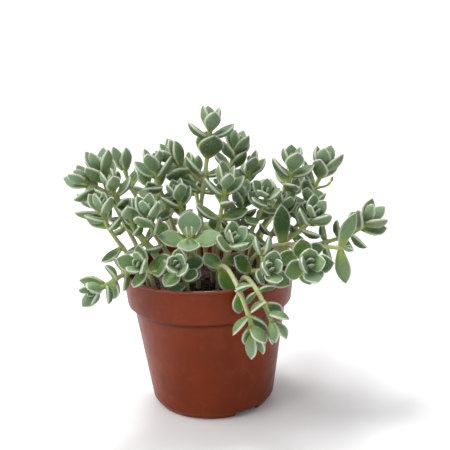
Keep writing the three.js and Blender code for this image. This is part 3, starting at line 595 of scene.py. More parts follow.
class Leaf:
    """One leaf's place and form: u runs from its base to its tip, v from one margin to the other."""

    def __init__(self, stem, base, axis, azimuth, lean, twist, long, broad):
        viewer = [0, -1, 0]
        reference = [0, 0, 1] if abs(dot(viewer, axis)) > NEARLY_ALONG else viewer
        first = unit(add(reference, axis, -dot(reference, axis)))
        second = cross(axis, first)
        turn = azimuth * DEGREE
        out = add(scaled(first, math.cos(turn)), second, math.sin(turn))
        tilt = lean * DEGREE
        self.along = add(scaled(axis, math.cos(tilt)), out, math.sin(tilt))
        level = add(scaled(axis, math.sin(tilt)), out, -math.cos(tilt))
        spin = twist * DEGREE
        self.face = add(scaled(level, math.cos(spin)), cross(level, self.along), math.sin(spin))
        self.side = cross(self.face, self.along)
        self.shoot = stem.name
        self.plant = stem.plant
        self.long = long
        self.thick = max(min(LEAF_THICK, LEAF_THICK_SHARE * long), LEAF_THINNEST)
        self.base = add(base, out, ROOT_OUT)
        self.half = (long * broad) / 2
        self.centre = add(self.base, self.along, long / 2)
        self.reach = long * REACH_SHARE
        self.probes = self.leaf_probes()

    def half_width(self, u):
        if u > WIDEST_AT:
            share = 1 - ((u - WIDEST_AT) / (1 - WIDEST_AT)) ** TIP_POWER
        else:
            narrowing = ((WIDEST_AT - u) / WIDEST_AT) ** BASE_POWER
            share = BASE_WIDTH_SHARE + (1 - BASE_WIDTH_SHARE) * (1 - narrowing)
        return self.half * max(share, 0)

    def belly(self, u, v):
        """The leaf's thickness in the plan."""
        if u > FATTEST_AT:
            share = 1 - (2 * (u - FATTEST_AT)) ** FATNESS_POWER
        else:
            share = BASE_FATNESS + ((1 - BASE_FATNESS) * u) / FATTEST_AT
        return self.thick * max(share, 0) * (1 - v * v)

    def middle(self, u, v, w):
        """The height of the leaf's middle surface above its base line."""
        return -SAG * self.long * 4 * u * (1 - u) + CUP * w * v * v

    def at(self, u, v, height):
        w = self.half_width(u)
        p = add(self.base, self.along, u * self.long)
        p = add(p, self.side, v * w)
        return add(p, self.face, self.middle(u, v, w) + height)

    def point(self, u, v, upper):
        share = UPPER_SHARE if upper else UPPER_SHARE - 1
        return self.at(u, v, share * self.belly(u, v))

    def leaf_probes(self):
        points = [self.point(1, 0, True)]
        for u in PROBE_SECTIONS:
            for v in PROBE_PLACES:
                points.append(self.point(u, v, True))
                if abs(v) < 1:
                    points.append(self.point(u, v, False))
        return points

    def holds(self, point, margin):
        """Whether a point is inside the leaf, or within a margin of it."""
        q = add(point, self.base, -1)
        x = dot(q, self.along)
        if x < -margin or x > self.long + margin:
            return False
        u = min(max(x / self.long, 0), 1)
        w = self.half_width(u)
        y = dot(q, self.side)
        if abs(y) > w + margin:
            return False
        v = min(max(y / w, -1), 1) if w > 0 else 0
        belly = self.belly(u, v)
        z = dot(q, self.face) - self.middle(u, v, w)
        return (UPPER_SHARE - 1) * belly - margin < z < UPPER_SHARE * belly + margin

    def plump(self, u, rise):
        """The height of the finished leaf's skin over its middle surface."""
        if u > FATTEST_AT:
            share = 1 - ((u - FATTEST_AT) / (1 - FATTEST_AT)) ** TIP_FATNESS_POWER
            share = max(share, 0) ** TIP_FATNESS_ROUND
        else:
            share = BASE_FATNESS + ((1 - BASE_FATNESS) * u) / FATTEST_AT
        side = UPPER_SHARE if rise >= 0 else UPPER_SHARE - 1
        return side * self.thick * share * abs(rise) ** PLUMP_POWER


def pot_outer_radius(z):
    if z > COLLAR_FOOT_Z:
        up = (z - COLLAR_FOOT_Z) / (POT_HEIGHT - COLLAR_FOOT_Z)
        return COLLAR_FOOT_RADIUS + up * (RIM_RADIUS - COLLAR_FOOT_RADIUS)
    up = (z - BODY_FOOT_Z) / (BODY_TOP_Z - BODY_FOOT_Z)
    return BODY_FOOT_RADIUS + up * (BODY_TOP_RADIUS - BODY_FOOT_RADIUS)


def meets_pot(point, margin):
    x, y, z = point
    r = math.sqrt(x * x + y * y)
    if z < margin:
        return True
    if z > POT_HEIGHT + margin:
        return False
    if r > pot_outer_radius(z) + margin:
        return False
    if r > pot_outer_radius(z) - 2 * WALL - margin:
        return True
    return z < SOIL_TOP + OVER_SOIL + margin


def leaves_meet(a, b, margin):
    if away(a.centre, b.centre) > a.reach + b.reach:
        return False
    return any(b.holds(p, margin) for p in a.probes) or any(a.holds(p, margin) for p in b.probes)


def stem_meets(leaf, stem):
    skipped = STEM_FREE_WITHIN if stem.plant == leaf.plant else 0
    return any(away(p, leaf.base) > skipped and leaf.holds(p, STEM_RADIUS + LEAF_GAP) for p in stem.points)


def leaf_is_free(leaf, leaves, stems):
    if any(away(p, leaf.base) > ROOTED_WITHIN and meets_pot(p, POT_GAP) for p in leaf.probes):
        return False
    for other in leaves:
        margin = 0 if other.plant == leaf.plant else LEAF_GAP
        if other.shoot != leaf.shoot and leaves_meet(leaf, other, margin):
            return False
    return not any(stem.name != leaf.shoot and stem_meets(leaf, stem) for stem in stems)


def leaf_pairs(shoot):
    gap = shoot.get("gap", USUAL_GAP)
    open_share = shoot.get("open", 1)
    broad = shoot.get("broad", LEAF_BROAD)
    pairs = []
    for k in range(shoot["pairs"]):
        back, lean, share = LADDER[k]
        pairs.append((back * gap, lean * open_share, share * shoot["leaf"], 90 * k, 0, broad))
    for back, lean, long, roll, twist, *breadth in shoot.get("own", []):
        pairs.append((back, lean, long, roll, twist, breadth[0] if breadth else broad))
    return pairs


def place_leaf(shoot, stem, pair, half, wobble, leaves, stems):
    """The first try that keeps clear, or nothing."""
    back, lean, long, quarter, twist, breadth = pair
    t = stem.parameter_back(back)
    base = curve_point(stem.controls, t)
    axis = unit(curve_slope(stem.controls, t))
    broad = breadth * (SMALL_LEAF_BROAD if long < SMALL_LEAF else 1)
    for bend, turn, share in TRIES:
        if back > BUD_WITHIN:
            leaning = max(lean + bend + LEAN_SPREAD * wobble[0], LEAST_LEAN)
        else:
            leaning = lean + BUD_LEAN_SPREAD * wobble[0]
        azimuth = shoot["roll"] + quarter + half + turn + TURN_SPREAD * wobble[2]
        reach = long * share * (1 + LENGTH_SPREAD * wobble[1])
        leaf = Leaf(stem, base, axis, azimuth, leaning, twist, reach, broad)
        if leaf_is_free(leaf, leaves, stems):
            leaf.back = back
            return leaf
    return None


def lay_out():
    """The stems and leaves, as the frame's solids have them."""
    stems = []
    by_name = {}
    for shoot in SHOOTS:
        stem = Stem(shoot, by_name.get(shoot.get("parent")))
        stems.append(stem)
        by_name[stem.name] = stem
    leaves = []
    for index, shoot in enumerate(SHOOTS):
        draw = seeded((index + 1) * SEED_STEP + SEED_START)
        stem = stems[index]
        for pair in leaf_pairs(shoot):
            if pair[0] > stem.long - LEAFLESS_FOOT:
                continue
            for half in (0, 180):
                wobble = [next(draw) - 0.5, next(draw) - 0.5, next(draw) - 0.5]
                leaf = place_leaf(shoot, stem, pair, half, wobble, leaves, stems)
                if leaf:
                    leaves.append(leaf)
    return stems, leaves


_plan = {}


def plan():
    """The layout, worked out once."""
    if not _plan:
        _plan["stems"], _plan["leaves"] = lay_out()
    return _plan["stems"], _plan["leaves"]


# Pieces
def piece_of(bm, name, materials, replaced=()):
    """An object at the origin from a bmesh, which is freed, riding on the body."""
    mesh = bpy.data.meshes.new(name)
    bm.to_mesh(mesh)
    bm.free()
    for material in materials:
        mesh.materials.append(material)
    piece = bpy.data.objects.new(name, mesh)
    bpy.context.scene.collection.objects.link(piece)
    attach(piece, BODY)
    if replaced:
        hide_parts(*replaced)


def poured_into(whole, part):
    """Adds a small bmesh to a larger one and frees it."""
    mesh = bpy.data.meshes.new("part")
    part.to_mesh(mesh)
    part.free()
    whole.from_mesh(mesh)
    bpy.data.meshes.remove(mesh)


def smooth_all(bm):
    for face in bm.faces:
        face.smooth = True


def sharp_edges(bm):
    """Shades every face smooth and breaks the shading at folds sharper than SHARP."""
    smooth_all(bm)
    for edge in bm.edges:
        edge.smooth = len(edge.link_faces) == 2 and edge.calc_face_angle(0) < SHARP


def spun(profile, segments):
    """A closed bmesh from a profile of (radius, height) in mm, turned about the Z axis."""
    bm = bmesh.new()
    verts = [bm.verts.new((r * MM, 0, z * MM)) for r, z in profile]
    edges = [bm.edges.new(pair) for pair in zip(verts, verts[1:])]
    bmesh.ops.spin(bm, geom=verts + edges, cent=(0, 0, 0), axis=(0, 0, 1), dvec=(0, 0, 0),
                   angle=FULL_TURN, steps=segments, use_merge=True, use_duplicate=False)
    bmesh.ops.remove_doubles(bm, verts=bm.verts, dist=MERGE_WITHIN * MM)
    bmesh.ops.recalc_face_normals(bm, faces=bm.faces)
    return bm


def rings_at(bm, radius, z):
    """The edges of the ring that lies at a radius and a height, in mm."""
    def on_ring(vert):
        off = max(abs(vert.co.xy.length / MM - radius), abs(vert.co.z / MM - z))
        return off < RING_TOLERANCE
    return [edge for edge in bm.edges if all(on_ring(vert) for vert in edge.verts)]


def rounded(bm, rings, width, segments):
    edges = [edge for radius, z in rings for edge in rings_at(bm, radius, z)]
    bmesh.ops.bevel(bm, geom=edges, offset=width, offset_type="OFFSET", segments=segments, profile=0.5,
                    affect="EDGES", clamp_overlap=True, material=-1)


def throwaway(bm, name):
    mesh = bpy.data.meshes.new(name)
    bm.to_mesh(mesh)
    bm.free()
    thing = bpy.data.objects.new(name, mesh)
    bpy.context.scene.collection.objects.link(thing)
    return thing


def cut_or_joined(target, tool, operation):
    """Applies a boolean of tool to target, and removes tool."""
    modifier = target.modifiers.new("boolean", "BOOLEAN")
    modifier.object = tool
    modifier.operation = operation
    modifier.solver = "EXACT"
    bpy.context.view_layer.update()
    seen = target.evaluated_get(bpy.context.evaluated_depsgraph_get())
    made = bpy.data.meshes.new_from_object(seen)
    target.modifiers.clear()
    old = target.data
    target.data = made
    bpy.data.meshes.remove(old)
    tool_mesh = tool.data
    bpy.data.objects.remove(tool)
    bpy.data.meshes.remove(tool_mesh)


def radial_boxes(inner, outer, width, low, high):
    """One box for each drainage channel, in mm, running outwards from the axis."""
    bm = bmesh.new()
    size = Matrix.Diagonal(((outer - inner) * MM, width * MM, (high - low) * MM, 1))
    centre = Matrix.Translation(((inner + outer) / 2 * MM, 0, (low + high) / 2 * MM))
    for angle in CHANNEL_ANGLES:
        turn = Matrix.Rotation(angle * DEGREE, 4, "Z")
        bmesh.ops.create_cube(bm, size=1, matrix=turn @ centre @ size)
    return bm


def drains():
    bm = bmesh.new()
    high = CHANNEL_HEIGHT + 2 * WALL
    centre = Matrix.Translation((DRAIN_DISTANCE * MM, 0, high / 2 * MM))
    for angle in CHANNEL_ANGLES:
        turn = Matrix.Rotation(angle * DEGREE, 4, "Z")
        bmesh.ops.create_cone(bm, cap_ends=True, segments=DRAIN_SIDES, radius1=DRAIN_RADIUS * MM,
                              radius2=DRAIN_RADIUS * MM, depth=high * MM, matrix=turn @ centre)
    return bm


def pot_outline():
    """The pot's outside from the middle of the base to the lip, as (radius, height) in mm."""
    lip_foot = POT_HEIGHT - LIP_HEIGHT
    return [
        (0, 0),
        (BASE_RADIUS, 0),
        (BODY_FOOT_RADIUS, BODY_FOOT_Z),
        (BODY_TOP_RADIUS, BODY_TOP_Z),
        (COLLAR_FOOT_RADIUS, COLLAR_FOOT_Z),
        (RIM_RADIUS - LIP_OVERHANG, lip_foot),
        (RIM_RADIUS, lip_foot + LIP_SLOPE_HEIGHT),
        (RIM_RADIUS, POT_HEIGHT),
    ]


def inside_outline(shrink, low, high):
    """The inner wall from the floor up, smaller by more where the soil inside it keeps clear."""
    def inner(z):
        return pot_outer_radius(z) - WALL - shrink
    return [
        (0, low),
        (BASE_RADIUS - WALL - shrink, low),
        (inner(BODY_FOOT_Z + INNER_FOOT_RISE), BODY_FOOT_Z + INNER_FOOT_RISE),
        (inner(BODY_TOP_Z), BODY_TOP_Z + WALL / 2 + shrink),
        (inner(COLLAR_FOOT_Z + WALL), COLLAR_FOOT_Z + WALL / 2 + shrink),
        (inner(high), high),
    ]


def pot_shell(settings):
    """The pot's wall with its lip, collar and foot rounded."""
    outline = pot_outline()
    bm = spun(outline + inside_outline(0, BASE_THICK, POT_HEIGHT)[::-1], settings.segments)
    lip_inner = (pot_outer_radius(POT_HEIGHT) - WALL, POT_HEIGHT)
    rounded(bm, [outline[-1], lip_inner, outline[-2]], settings.lip_bevel, LIP_BEVEL_SEGMENTS)
    rounded(bm, [outline[2], outline[3], outline[4]], settings.edge_bevel, EDGE_BEVEL_SEGMENTS)
    return bm


def make_pot(settings):
    pot = throwaway(pot_shell(settings), "pot_wall")
    roofs = throwaway(radial_boxes(CHANNEL_INNER_RADIUS - WALL, RIM_RADIUS, CHANNEL_WIDTH + 2 * WALL,
                                   BASE_THICK / 2, CHANNEL_HEIGHT + WALL), "channel_roofs")
    full = spun(pot_outline() + [(0, POT_HEIGHT)], settings.segments)
    cut_or_joined(roofs, throwaway(full, "pot_full"), "INTERSECT")
    cut_or_joined(pot, roofs, "UNION")
    channels = radial_boxes(CHANNEL_INNER_RADIUS, RIM_RADIUS, CHANNEL_WIDTH, -CUT_PAST, CHANNEL_HEIGHT)
    cut_or_joined(pot, throwaway(channels, "channels"), "DIFFERENCE")
    cut_or_joined(pot, throwaway(drains(), "drains"), "DIFFERENCE")
    bm = bmesh.new()
    bm.from_mesh(pot.data)
    bmesh.ops.remove_doubles(bm, verts=bm.verts, dist=CUT_MERGE_WITHIN * MM)
    sharp_edges(bm)
    for face in bm.faces:
        if face.calc_center_median().z > LIP_SHINE_Z * MM:
            face.material_index = 1
    old = pot.data
    bpy.data.objects.remove(pot)
    bpy.data.meshes.remove(old)
    return bm


def soil_height(x, y, settings):
    """The height of the soil's surface over a point in mm."""
    waves = sum(share * math.sin(a * x + b * y + start) for share, a, b, start in SOIL_WAVES)
    lumps = noise.fractal(Vector((x, y, 0)) / LUMP_SIZE, LUMP_ROUGHNESS, LUMP_SCALING, LUMP_OCTAVES)
    return SOIL_LEVEL + SOIL_BUMP * waves + settings.roughness / MM / 2 * lumps


def make_soil(settings):
    low = BASE_THICK + CLEARANCE
    profile = inside_outline(CLEARANCE, CHANNEL_HEIGHT + WALL + CLEARANCE, SOIL_LEVEL)
    profile[1] = (BASE_RADIUS - WALL - CLEARANCE, low + CHANNEL_HEIGHT)
    edge = profile[-1][0]
    profile += [(edge * (1 - k / SOIL_RING_COUNT), SOIL_LEVEL) for k in range(1, SOIL_RING_COUNT + 1)]
    bm = spun(profile, settings.segments)
    for vert in bm.verts:
        if vert.co.z > (SOIL_LEVEL - CLEARANCE) * MM:
            vert.co.z = soil_height(vert.co.x / MM, vert.co.y / MM, settings) * MM
    sharp_edges(bm)
    return bm


def strewn(bm, draw, size, stretch, sink, reach, settings):
    """One crumb on the soil, of a size in mm, sunk by a share of it and given a tone."""
    radius = reach * math.sqrt(next(draw))
    angle = FULL_TURN * next(draw)
    x, y = radius * math.cos(angle), radius * math.sin(angle)
    z = soil_height(x, y, settings) + size * (0.5 - sink)
    turn = Matrix.Rotation(next(draw) * CRUMB_TURN, 4, "Z")
    tilt = Matrix.Rotation((next(draw) - 0.5) * CRUMB_TILT, 4, "X")
    height = size * (CRUMB_LEAST_HEIGHT + (1 - CRUMB_LEAST_HEIGHT) * next(draw))
    shape = Matrix.Diagonal((size * stretch * MM, size * MM, height * MM, 1))
    small = bmesh.new()
    tone_layer = small.verts.layers.float.new("tone")
    ball = bmesh.ops.create_icosphere(small, subdivisions=1, radius=0.5)
    tone = next(draw)
    shift = Vector((next(draw), next(draw), next(draw))) * DENT_FIELD
    for vert in ball["verts"]:
        vert.co *= 1 + CRUMB_DENT * noise.noise(vert.co * CRUMB_DENT_SCALE + shift)
        vert[tone_layer] = tone
    bmesh.ops.transform(small, matrix=Matrix.Translation((x * MM, y * MM, z * MM)) @ turn @ tilt @ shape,
                        verts=small.verts)
    poured_into(bm, small)


def crumb_mesh(settings, count, smallest, largest, stretch, sink, seed):
    bm = bmesh.new()
    bm.verts.layers.float.new("tone")
    draw = seeded(seed)
    for _ in range(count):
        share = next(draw)
        size = smallest + (largest - smallest) * share * share
        reach = inside_outline(CLEARANCE, 0, SOIL_LEVEL)[-1][0] - size * stretch / 2 - CLEARANCE
        strewn(bm, draw, size, stretch, sink, reach, settings)
    return bm


def plant_bmesh():
    """An empty bmesh with what the leaf and stem materials read: the distance in mm from the leaf's
    margin, the share along it, its youth, its tone, and whether it is the underside."""
    bm = bmesh.new()
    names = ("edge", "along", "young", "tone", "under")
    return bm, {name: bm.verts.layers.float.new(name) for name in names}


def add_leaf(whole, leaf, tone):
    """A smooth leaf from a ball whose lower pole becomes its root and upper pole its tip."""
    bm, layers = plant_bmesh()
    bmesh.ops.create_uvsphere(bm, u_segments=LEAF_SIDES, v_segments=LEAF_RINGS, radius=1)
    young = clamped(1 - leaf.back / YOUNG_WITHIN)
    for vert in bm.verts:
        x, y, z = vert.co
        u = clamped((1 + z) / 2)
        ring = math.sqrt(x * x + y * y)
        v = x / ring if ring > POLE_RADIUS else 0
        rise = y / ring if ring > POLE_RADIUS else 0
        vert.co = Vector(leaf.at(u, v, leaf.plump(u, rise))) * MM
        vert[layers["edge"]] = (1 - abs(v)) * leaf.half_width(u)
        vert[layers["along"]] = u
        vert[layers["young"]] = young
        vert[layers["tone"]] = tone
        vert[layers["under"]] = 1 if rise < 0 else 0
    bmesh.ops.recalc_face_normals(bm, faces=bm.faces)
    smooth_all(bm)
    bud = leaf.shoot == FLOWER_BUD
    for face in bm.faces:
        face.material_index = 2 if bud else 0
    poured_into(whole, bm)


def stem_radius(stem, up, nodes):
    """The stem's radius in mm, a little swollen where leaves stand."""
    taper = 1 - STEM_TAPER * clamped(up / stem.long)
    if stem.name == FLOWER_BUD:
        taper *= FLOWER_STALK_SHARE
    swell = sum(math.exp(-((up - node) / NODE_SPREAD) ** 2) for node in nodes)
    return (STEM_RADIUS - NODE_SWELL / 2) * taper + NODE_SWELL * min(swell, 1)


def stem_nodes(stem, leaves):
    return sorted({round(stem.long - leaf.back, 1) for leaf in leaves if leaf.shoot == stem.name})


def add_stem(whole, stem, nodes, tone):
    """A smooth stem from a ball whose poles become its two ends."""
    bm, layers = plant_bmesh()
    start = -ROOT_DEPTH if stem.rooted else 0
    span = stem.long - start
    rings = max(FEWEST_STEM_RINGS, round(span / STEM_RING_GAP))
    bmesh.ops.create_uvsphere(bm, u_segments=STEM_SIDES, v_segments=rings, radius=1)
    side = unit(cross(stem.place(start)[1], ACROSS_HINT))
    spots = []
    for k in range(rings + 1):
        up = start + span * k / rings
        place, axis = stem.place(up)
        side = unit(add(side, axis, -dot(side, axis)))
        radius = stem_radius(stem, up, nodes) if 0 < k < rings else 0
        spots.append((place, side, cross(axis, side), radius, up / stem.long))
    for vert in bm.verts:
        x, y, z = vert.co
        k = round(math.acos(clamped(-z, -1, 1)) / math.pi * rings)
        place, side, across, radius, share = spots[k]
        ring = math.sqrt(x * x + y * y)
        if ring > POLE_RADIUS:
            place = add(add(place, side, radius * x / ring), across, radius * y / ring)
        vert.co = Vector(place) * MM
        vert[layers["along"]] = share
        vert[layers["tone"]] = tone
    bmesh.ops.recalc_face_normals(bm, faces=bm.faces)
    smooth_all(bm)
    for face in bm.faces:
        face.material_index = 1
    poured_into(whole, bm)


def make_leafy_stem(plant, stems, leaves, materials):
    bm, _ = plant_bmesh()
    draw = seeded(sum(ord(letter) for letter in plant) * SEED_STEP)
    for stem in stems:
        if stem.plant == plant:
            add_stem(bm, stem, stem_nodes(stem, leaves), next(draw))
    for leaf in leaves:
        if leaf.plant == plant:
            add_leaf(bm, leaf, next(draw))
    node_name = f"stem_{plant}"
    piece_of(bm, f"leafy_{node_name}", materials, [node_name])


class Down:
    """Hairs gathered in small batches, which are quicker to make than one large mesh."""

    def __init__(self):
        self.whole = bmesh.new()
        self.batch = bmesh.new()
        self.count = 0

    def grow(self, root, way, length, radius):
        """One hair from a root in mm along a way, with its length and radius in metres."""
        way = Vector(way).normalized()
        turn = way.to_track_quat("Z", "Y").to_matrix().to_4x4()
        centre = Vector(root) * MM + way * length / 2
        bmesh.ops.create_cone(self.batch, cap_ends=True, segments=HAIR_SIDES, radius1=radius, radius2=0,
                              depth=length, matrix=Matrix.Translation(centre) @ turn)
        self.count += 1
        if self.count % HAIRS_AT_ONCE == 0:
            self.flush()

    def flush(self):
        poured_into(self.whole, self.batch)
        self.batch = bmesh.new()

    def finished(self):
        self.flush()
        self.batch.free()
        return self.whole


def fringe(down, leaf, settings, draw):
    """The white hairs that stand out from both margins."""
    number = max(FRINGE_FEWEST, round(leaf.long * MM * FRINGE_CURVE / settings.margin_pitch))
    small = clamped(leaf.long / FRINGE_FULL_LEAF, FRINGE_LEAST_LEAF, 1)
    for sign in (-1, 1):
        for k in range(number):
            u = FRINGE_FROM + (1 - FRINGE_FROM) * (k + next(draw)) / number
            u = clamped(u, 0, FRINGE_TO)
            here = leaf.at(u, sign, 0)
            step = unit(add(leaf.at(min(u + MARGIN_STEP, 1), sign, 0), here, -1))
            out = scaled(cross(step, leaf.face), -sign)
            way = add(out, step, FRINGE_LEAN + FRINGE_LEAN_SPREAD * (next(draw) - 0.5))
            way = add(way, leaf.face, FRINGE_RISE_SPREAD * (next(draw) - 0.5))
            share = FRINGE_LEAST_HAIR + (1 - FRINGE_LEAST_HAIR) * next(draw)
            length = settings.margin_length * small * share
            down.grow(add(here, out, -HAIR_SINK), way, length, settings.margin_radius)


def face_down(down, leaf, settings, draw):
    """Short hairs on both faces."""
    area = clamped((leaf.long / DOWN_FULL_LEAF) ** 2, DOWN_LEAST, DOWN_MOST)
    number = round(settings.face_count * area)
    for _ in range(number):
        u = DOWN_FROM + DOWN_SPAN * next(draw)
        angle = FULL_TURN * next(draw)
        v, rise = math.cos(angle), math.sin(angle)
        here = leaf.at(u, v, leaf.plump(u, rise))
        way = add(scaled(leaf.face, rise), leaf.side, DOWN_SIDEWAYS * v)
        way = add(way, leaf.along, DOWN_FORWARD)
        length = settings.face_length * (DOWN_LEAST_HAIR + (1 - DOWN_LEAST_HAIR) * next(draw))
        down.grow(here, way, length, settings.face_radius)


def stem_down(down, stem, nodes, settings, draw):
    for _ in range(round(settings.stem_per_mm * stem.long)):
        up = stem.long * next(draw)
        place, axis = stem.place(up)
        side = unit(cross(axis, ACROSS_HINT))
        turn = FULL_TURN * next(draw)
        out = add(scaled(side, math.cos(turn)), cross(axis, side), math.sin(turn))
        way = add(out, axis, STEM_DOWN_LEAN * (next(draw) - STEM_DOWN_BACKWARD))
        length = settings.stem_length * (DOWN_LEAST_HAIR + (1 - DOWN_LEAST_HAIR) * next(draw))
        here = add(place, out, stem_radius(stem, up, nodes) - HAIR_SINK)
        down.grow(here, way, length, settings.face_radius)


def make_down(plant, stems, leaves, material, settings):
    down = Down()
    draw = seeded(sum(ord(letter) for letter in plant) * SEED_STEP + SEED_START)
    for stem in stems:
        if stem.plant == plant:
            stem_down(down, stem, stem_nodes(stem, leaves), settings, draw)
    for leaf in leaves:
        if leaf.plant == plant:
            fringe(down, leaf, settings, draw)
            face_down(down, leaf, settings, draw)
    piece_of(down.finished(), f"down_stem_{plant}", [material])


# Materials
class Recipe:
    """The nodes of one material, from its coordinates to its finished surface."""

    def __init__(self, name):
        self.material = bpy.data.materials.new(name)
        self.material.use_nodes = True
        self.tree = self.material.node_tree
        self.surface = self.tree.nodes["Principled BSDF"]
        self.places = self.tree.nodes.new("ShaderNodeTexCoord").outputs["Object"]

    def feed(self, socket, value):
        if isinstance(value, bpy.types.NodeSocket):
            self.tree.links.new(value, socket)
        elif socket.type == "RGBA" and len(value) == 3:
            socket.default_value = (*value, 1)
        else:
            socket.default_value = value

    def set(self, **sockets):
        """Sets or links sockets of the shader, named with _ for a space."""
        for name, value in sockets.items():
            self.feed(self.surface.inputs[name.replace("_", " ")], value)

    def attribute(self, name):
        node = self.tree.nodes.new("ShaderNodeAttribute")
        node.attribute_name = name
        return node.outputs["Fac"]

    def noise(self, size, detail=3, roughness=0.55):
        """Cloudy values between 0 and 1, with a grain of size mm."""
        node = self.tree.nodes.new("ShaderNodeTexNoise")
        self.feed(node.inputs["Vector"], self.places)
        node.inputs["Scale"].default_value = 1 / (size * MM)
        node.inputs["Detail"].default_value = detail
        node.inputs["Roughness"].default_value = roughness
        return node.outputs["Fac"]

    def spots(self, size):
        """The distance from scattered points about size mm apart."""
        node = self.tree.nodes.new("ShaderNodeTexVoronoi")
        self.feed(node.inputs["Vector"], self.places)
        node.inputs["Scale"].default_value = 1 / (size * MM)
        return node.outputs["Distance"]

    def spread(self, value, low, high, to_low=0.0, to_high=1.0):
        """A value's range from low to high, eased onto another range and held at its ends."""
        node = self.tree.nodes.new("ShaderNodeMapRange")
        node.interpolation_type = "SMOOTHSTEP"
        for name, number in (("Value", value), ("From Min", low), ("From Max", high),
                             ("To Min", to_low), ("To Max", to_high)):
            self.feed(node.inputs[name], number)
        return node.outputs["Result"]

    def sum_of(self, kind, first, second):
        node = self.tree.nodes.new("ShaderNodeMath")
        node.operation = kind
        self.feed(node.inputs[0], first)
        self.feed(node.inputs[1], second)
        return node.outputs[0]

    def times(self, first, second):
        return self.sum_of("MULTIPLY", first, second)

    def plus(self, first, second):
        return self.sum_of("ADD", first, second)

    def mixed(self, share, first, second):
        node = self.tree.nodes.new("ShaderNodeMix")
        node.data_type = "RGBA"
        self.feed(node.inputs[0], share)
        self.feed(node.inputs[6], first)
        self.feed(node.inputs[7], second)
        return node.outputs[2]

    def height(self):
        """The height over the floor, in metres."""
        part = self.tree.nodes.new("ShaderNodeSeparateXYZ")
        self.feed(part.inputs[0], self.places)
        return part.outputs["Z"]

    def bump(self, height, depth, strength):
        """A bump of a depth in mm."""
        node = self.tree.nodes.new("ShaderNodeBump")
        node.inputs["Strength"].default_value = strength
        node.inputs["Distance"].default_value = depth * MM
        self.feed(node.inputs["Height"], height)
        self.set(Normal=node.outputs["Normal"])


def pot_plastic(settings, name, coat):
    """Brown plastic, a little cloudy, with a film and specks of dust, and painted shade darkening the fold
    under the collar.
    """
    recipe = Recipe(name)
    cloud = recipe.spread(recipe.noise(size=22, detail=4), low=0.35, high=0.68)
    colour = recipe.mixed(cloud, settings.colour, settings.dark_colour)
    film = recipe.spread(recipe.noise(size=7, detail=5, roughness=0.7), low=0.5, high=0.8)
    colour = recipe.mixed(recipe.times(film, DUST_FILM), colour, settings.dust_colour)
    specks = recipe.times(recipe.spread(recipe.spots(size=3.4), low=0.07, high=0.03),
                          recipe.spread(recipe.noise(size=9), low=0.58, high=0.66))
    colour = recipe.mixed(recipe.times(specks, DUST_SPECKS), colour, settings.dust_colour)
    height = recipe.height()
    # Painted shade: the crease between the body and the collar is darkened where shade falls
    over_body = recipe.spread(height, (BODY_TOP_Z - FOLD_DEPTH) * MM, BODY_TOP_Z * MM)
    under_collar = recipe.spread(height, (COLLAR_FOOT_Z + FOLD_OVER) * MM, (COLLAR_FOOT_Z - FOLD_UNDER) * MM)
    fold = recipe.times(over_body, under_collar)
    colour = recipe.mixed(recipe.times(fold, FOLD_SHADE_SHARE), colour, settings.fold_shade_colour)
    rough = recipe.spread(recipe.noise(size=5, detail=4), low=0.3, high=0.75, to_low=0.4, to_high=0.52)
    recipe.set(Base_Color=colour, Roughness=rough, Specular_IOR_Level=0.1)
    recipe.set(Coat_Weight=coat, Coat_Roughness=0.12)
    fine = recipe.noise(size=0.7, detail=2)
    recipe.bump(recipe.plus(fine, recipe.times(recipe.noise(size=4), COARSE_GRAIN)), depth=0.03, strength=0.3)
    return recipe.material


def peat(name, dark, light, low, high):
    """Soil of two colours, mixed by the crumb's own tone and by a grain."""
    recipe = Recipe(name)
    grain = recipe.noise(size=0.8, detail=4, roughness=0.65)
    share = recipe.spread(recipe.plus(recipe.attribute("tone"), grain), low, high)
    recipe.set(Base_Color=recipe.mixed(share, dark, light), Roughness=0.92, Specular_IOR_Level=0.25)
    recipe.bump(grain, depth=0.35, strength=0.8)
    return recipe.material


def leaf_skin(settings):
    """Green in the middle, paler towards the margin, yellowish at the foot and greyish at the tip, with
    painted shade darkening the upper leaves.
    """
    recipe = Recipe("leaf_skin")
    edge = recipe.attribute("edge")
    along = recipe.attribute("along")
    tone = recipe.attribute("tone")
    cloud = recipe.noise(size=3.2)
    fresh = recipe.spread(recipe.plus(tone, cloud), low=0.7, high=1.3)
    # Painted shade: leaves higher over the floor get a darker middle
    height = recipe.plus(recipe.height(), recipe.times(tone, HIGH_WANDER))
    high = recipe.spread(height, low=0.09, high=0.14)
    downy = recipe.spread(recipe.plus(edge, recipe.times(cloud, DOWNY_WANDER)), low=2.2, high=0.5)
    foot = recipe.spread(along, low=0.42, high=0.04)
    sunned = recipe.spread(tone, low=0.45, high=0.9, to_low=0.1, to_high=0.75)
    stipple = recipe.spread(recipe.spots(size=0.55), low=0.36, high=0.1)
    rim = recipe.spread(edge, low=0.46, high=0.1, to_low=0, to_high=0.75)
    colour = recipe.mixed(fresh, settings.green, settings.fresh_green)
    for share, shade in (
        (recipe.times(high, HIGH_SHADE_SHARE), settings.high_shade_green),
        (recipe.times(recipe.attribute("under"), UNDER_SHARE), settings.under_colour),
        (recipe.times(downy, DOWNY_SHARE), settings.grey_green),
        (recipe.times(recipe.attribute("young"), YOUNG_SHARE), settings.young_green),
        (recipe.times(foot, FOOT_SHARE), settings.base_colour),
        (recipe.times(recipe.spread(along, low=0.74, high=1.0), sunned), settings.tip_colour),
        (recipe.times(stipple, STIPPLE_SHARE), settings.margin_colour),
        (recipe.times(rim, recipe.spread(along, low=0.05, high=0.2)), settings.margin_colour),
    ):
        colour = recipe.mixed(share, colour, shade)
    recipe.set(Base_Color=colour, Roughness=0.6)
    recipe.set(Sheen_Weight=0.3, Sheen_Roughness=0.5, Sheen_Tint=settings.margin_colour)
    recipe.bump(recipe.plus(stipple, recipe.noise(size=0.9)), depth=0.12, strength=0.6)
    return recipe.material


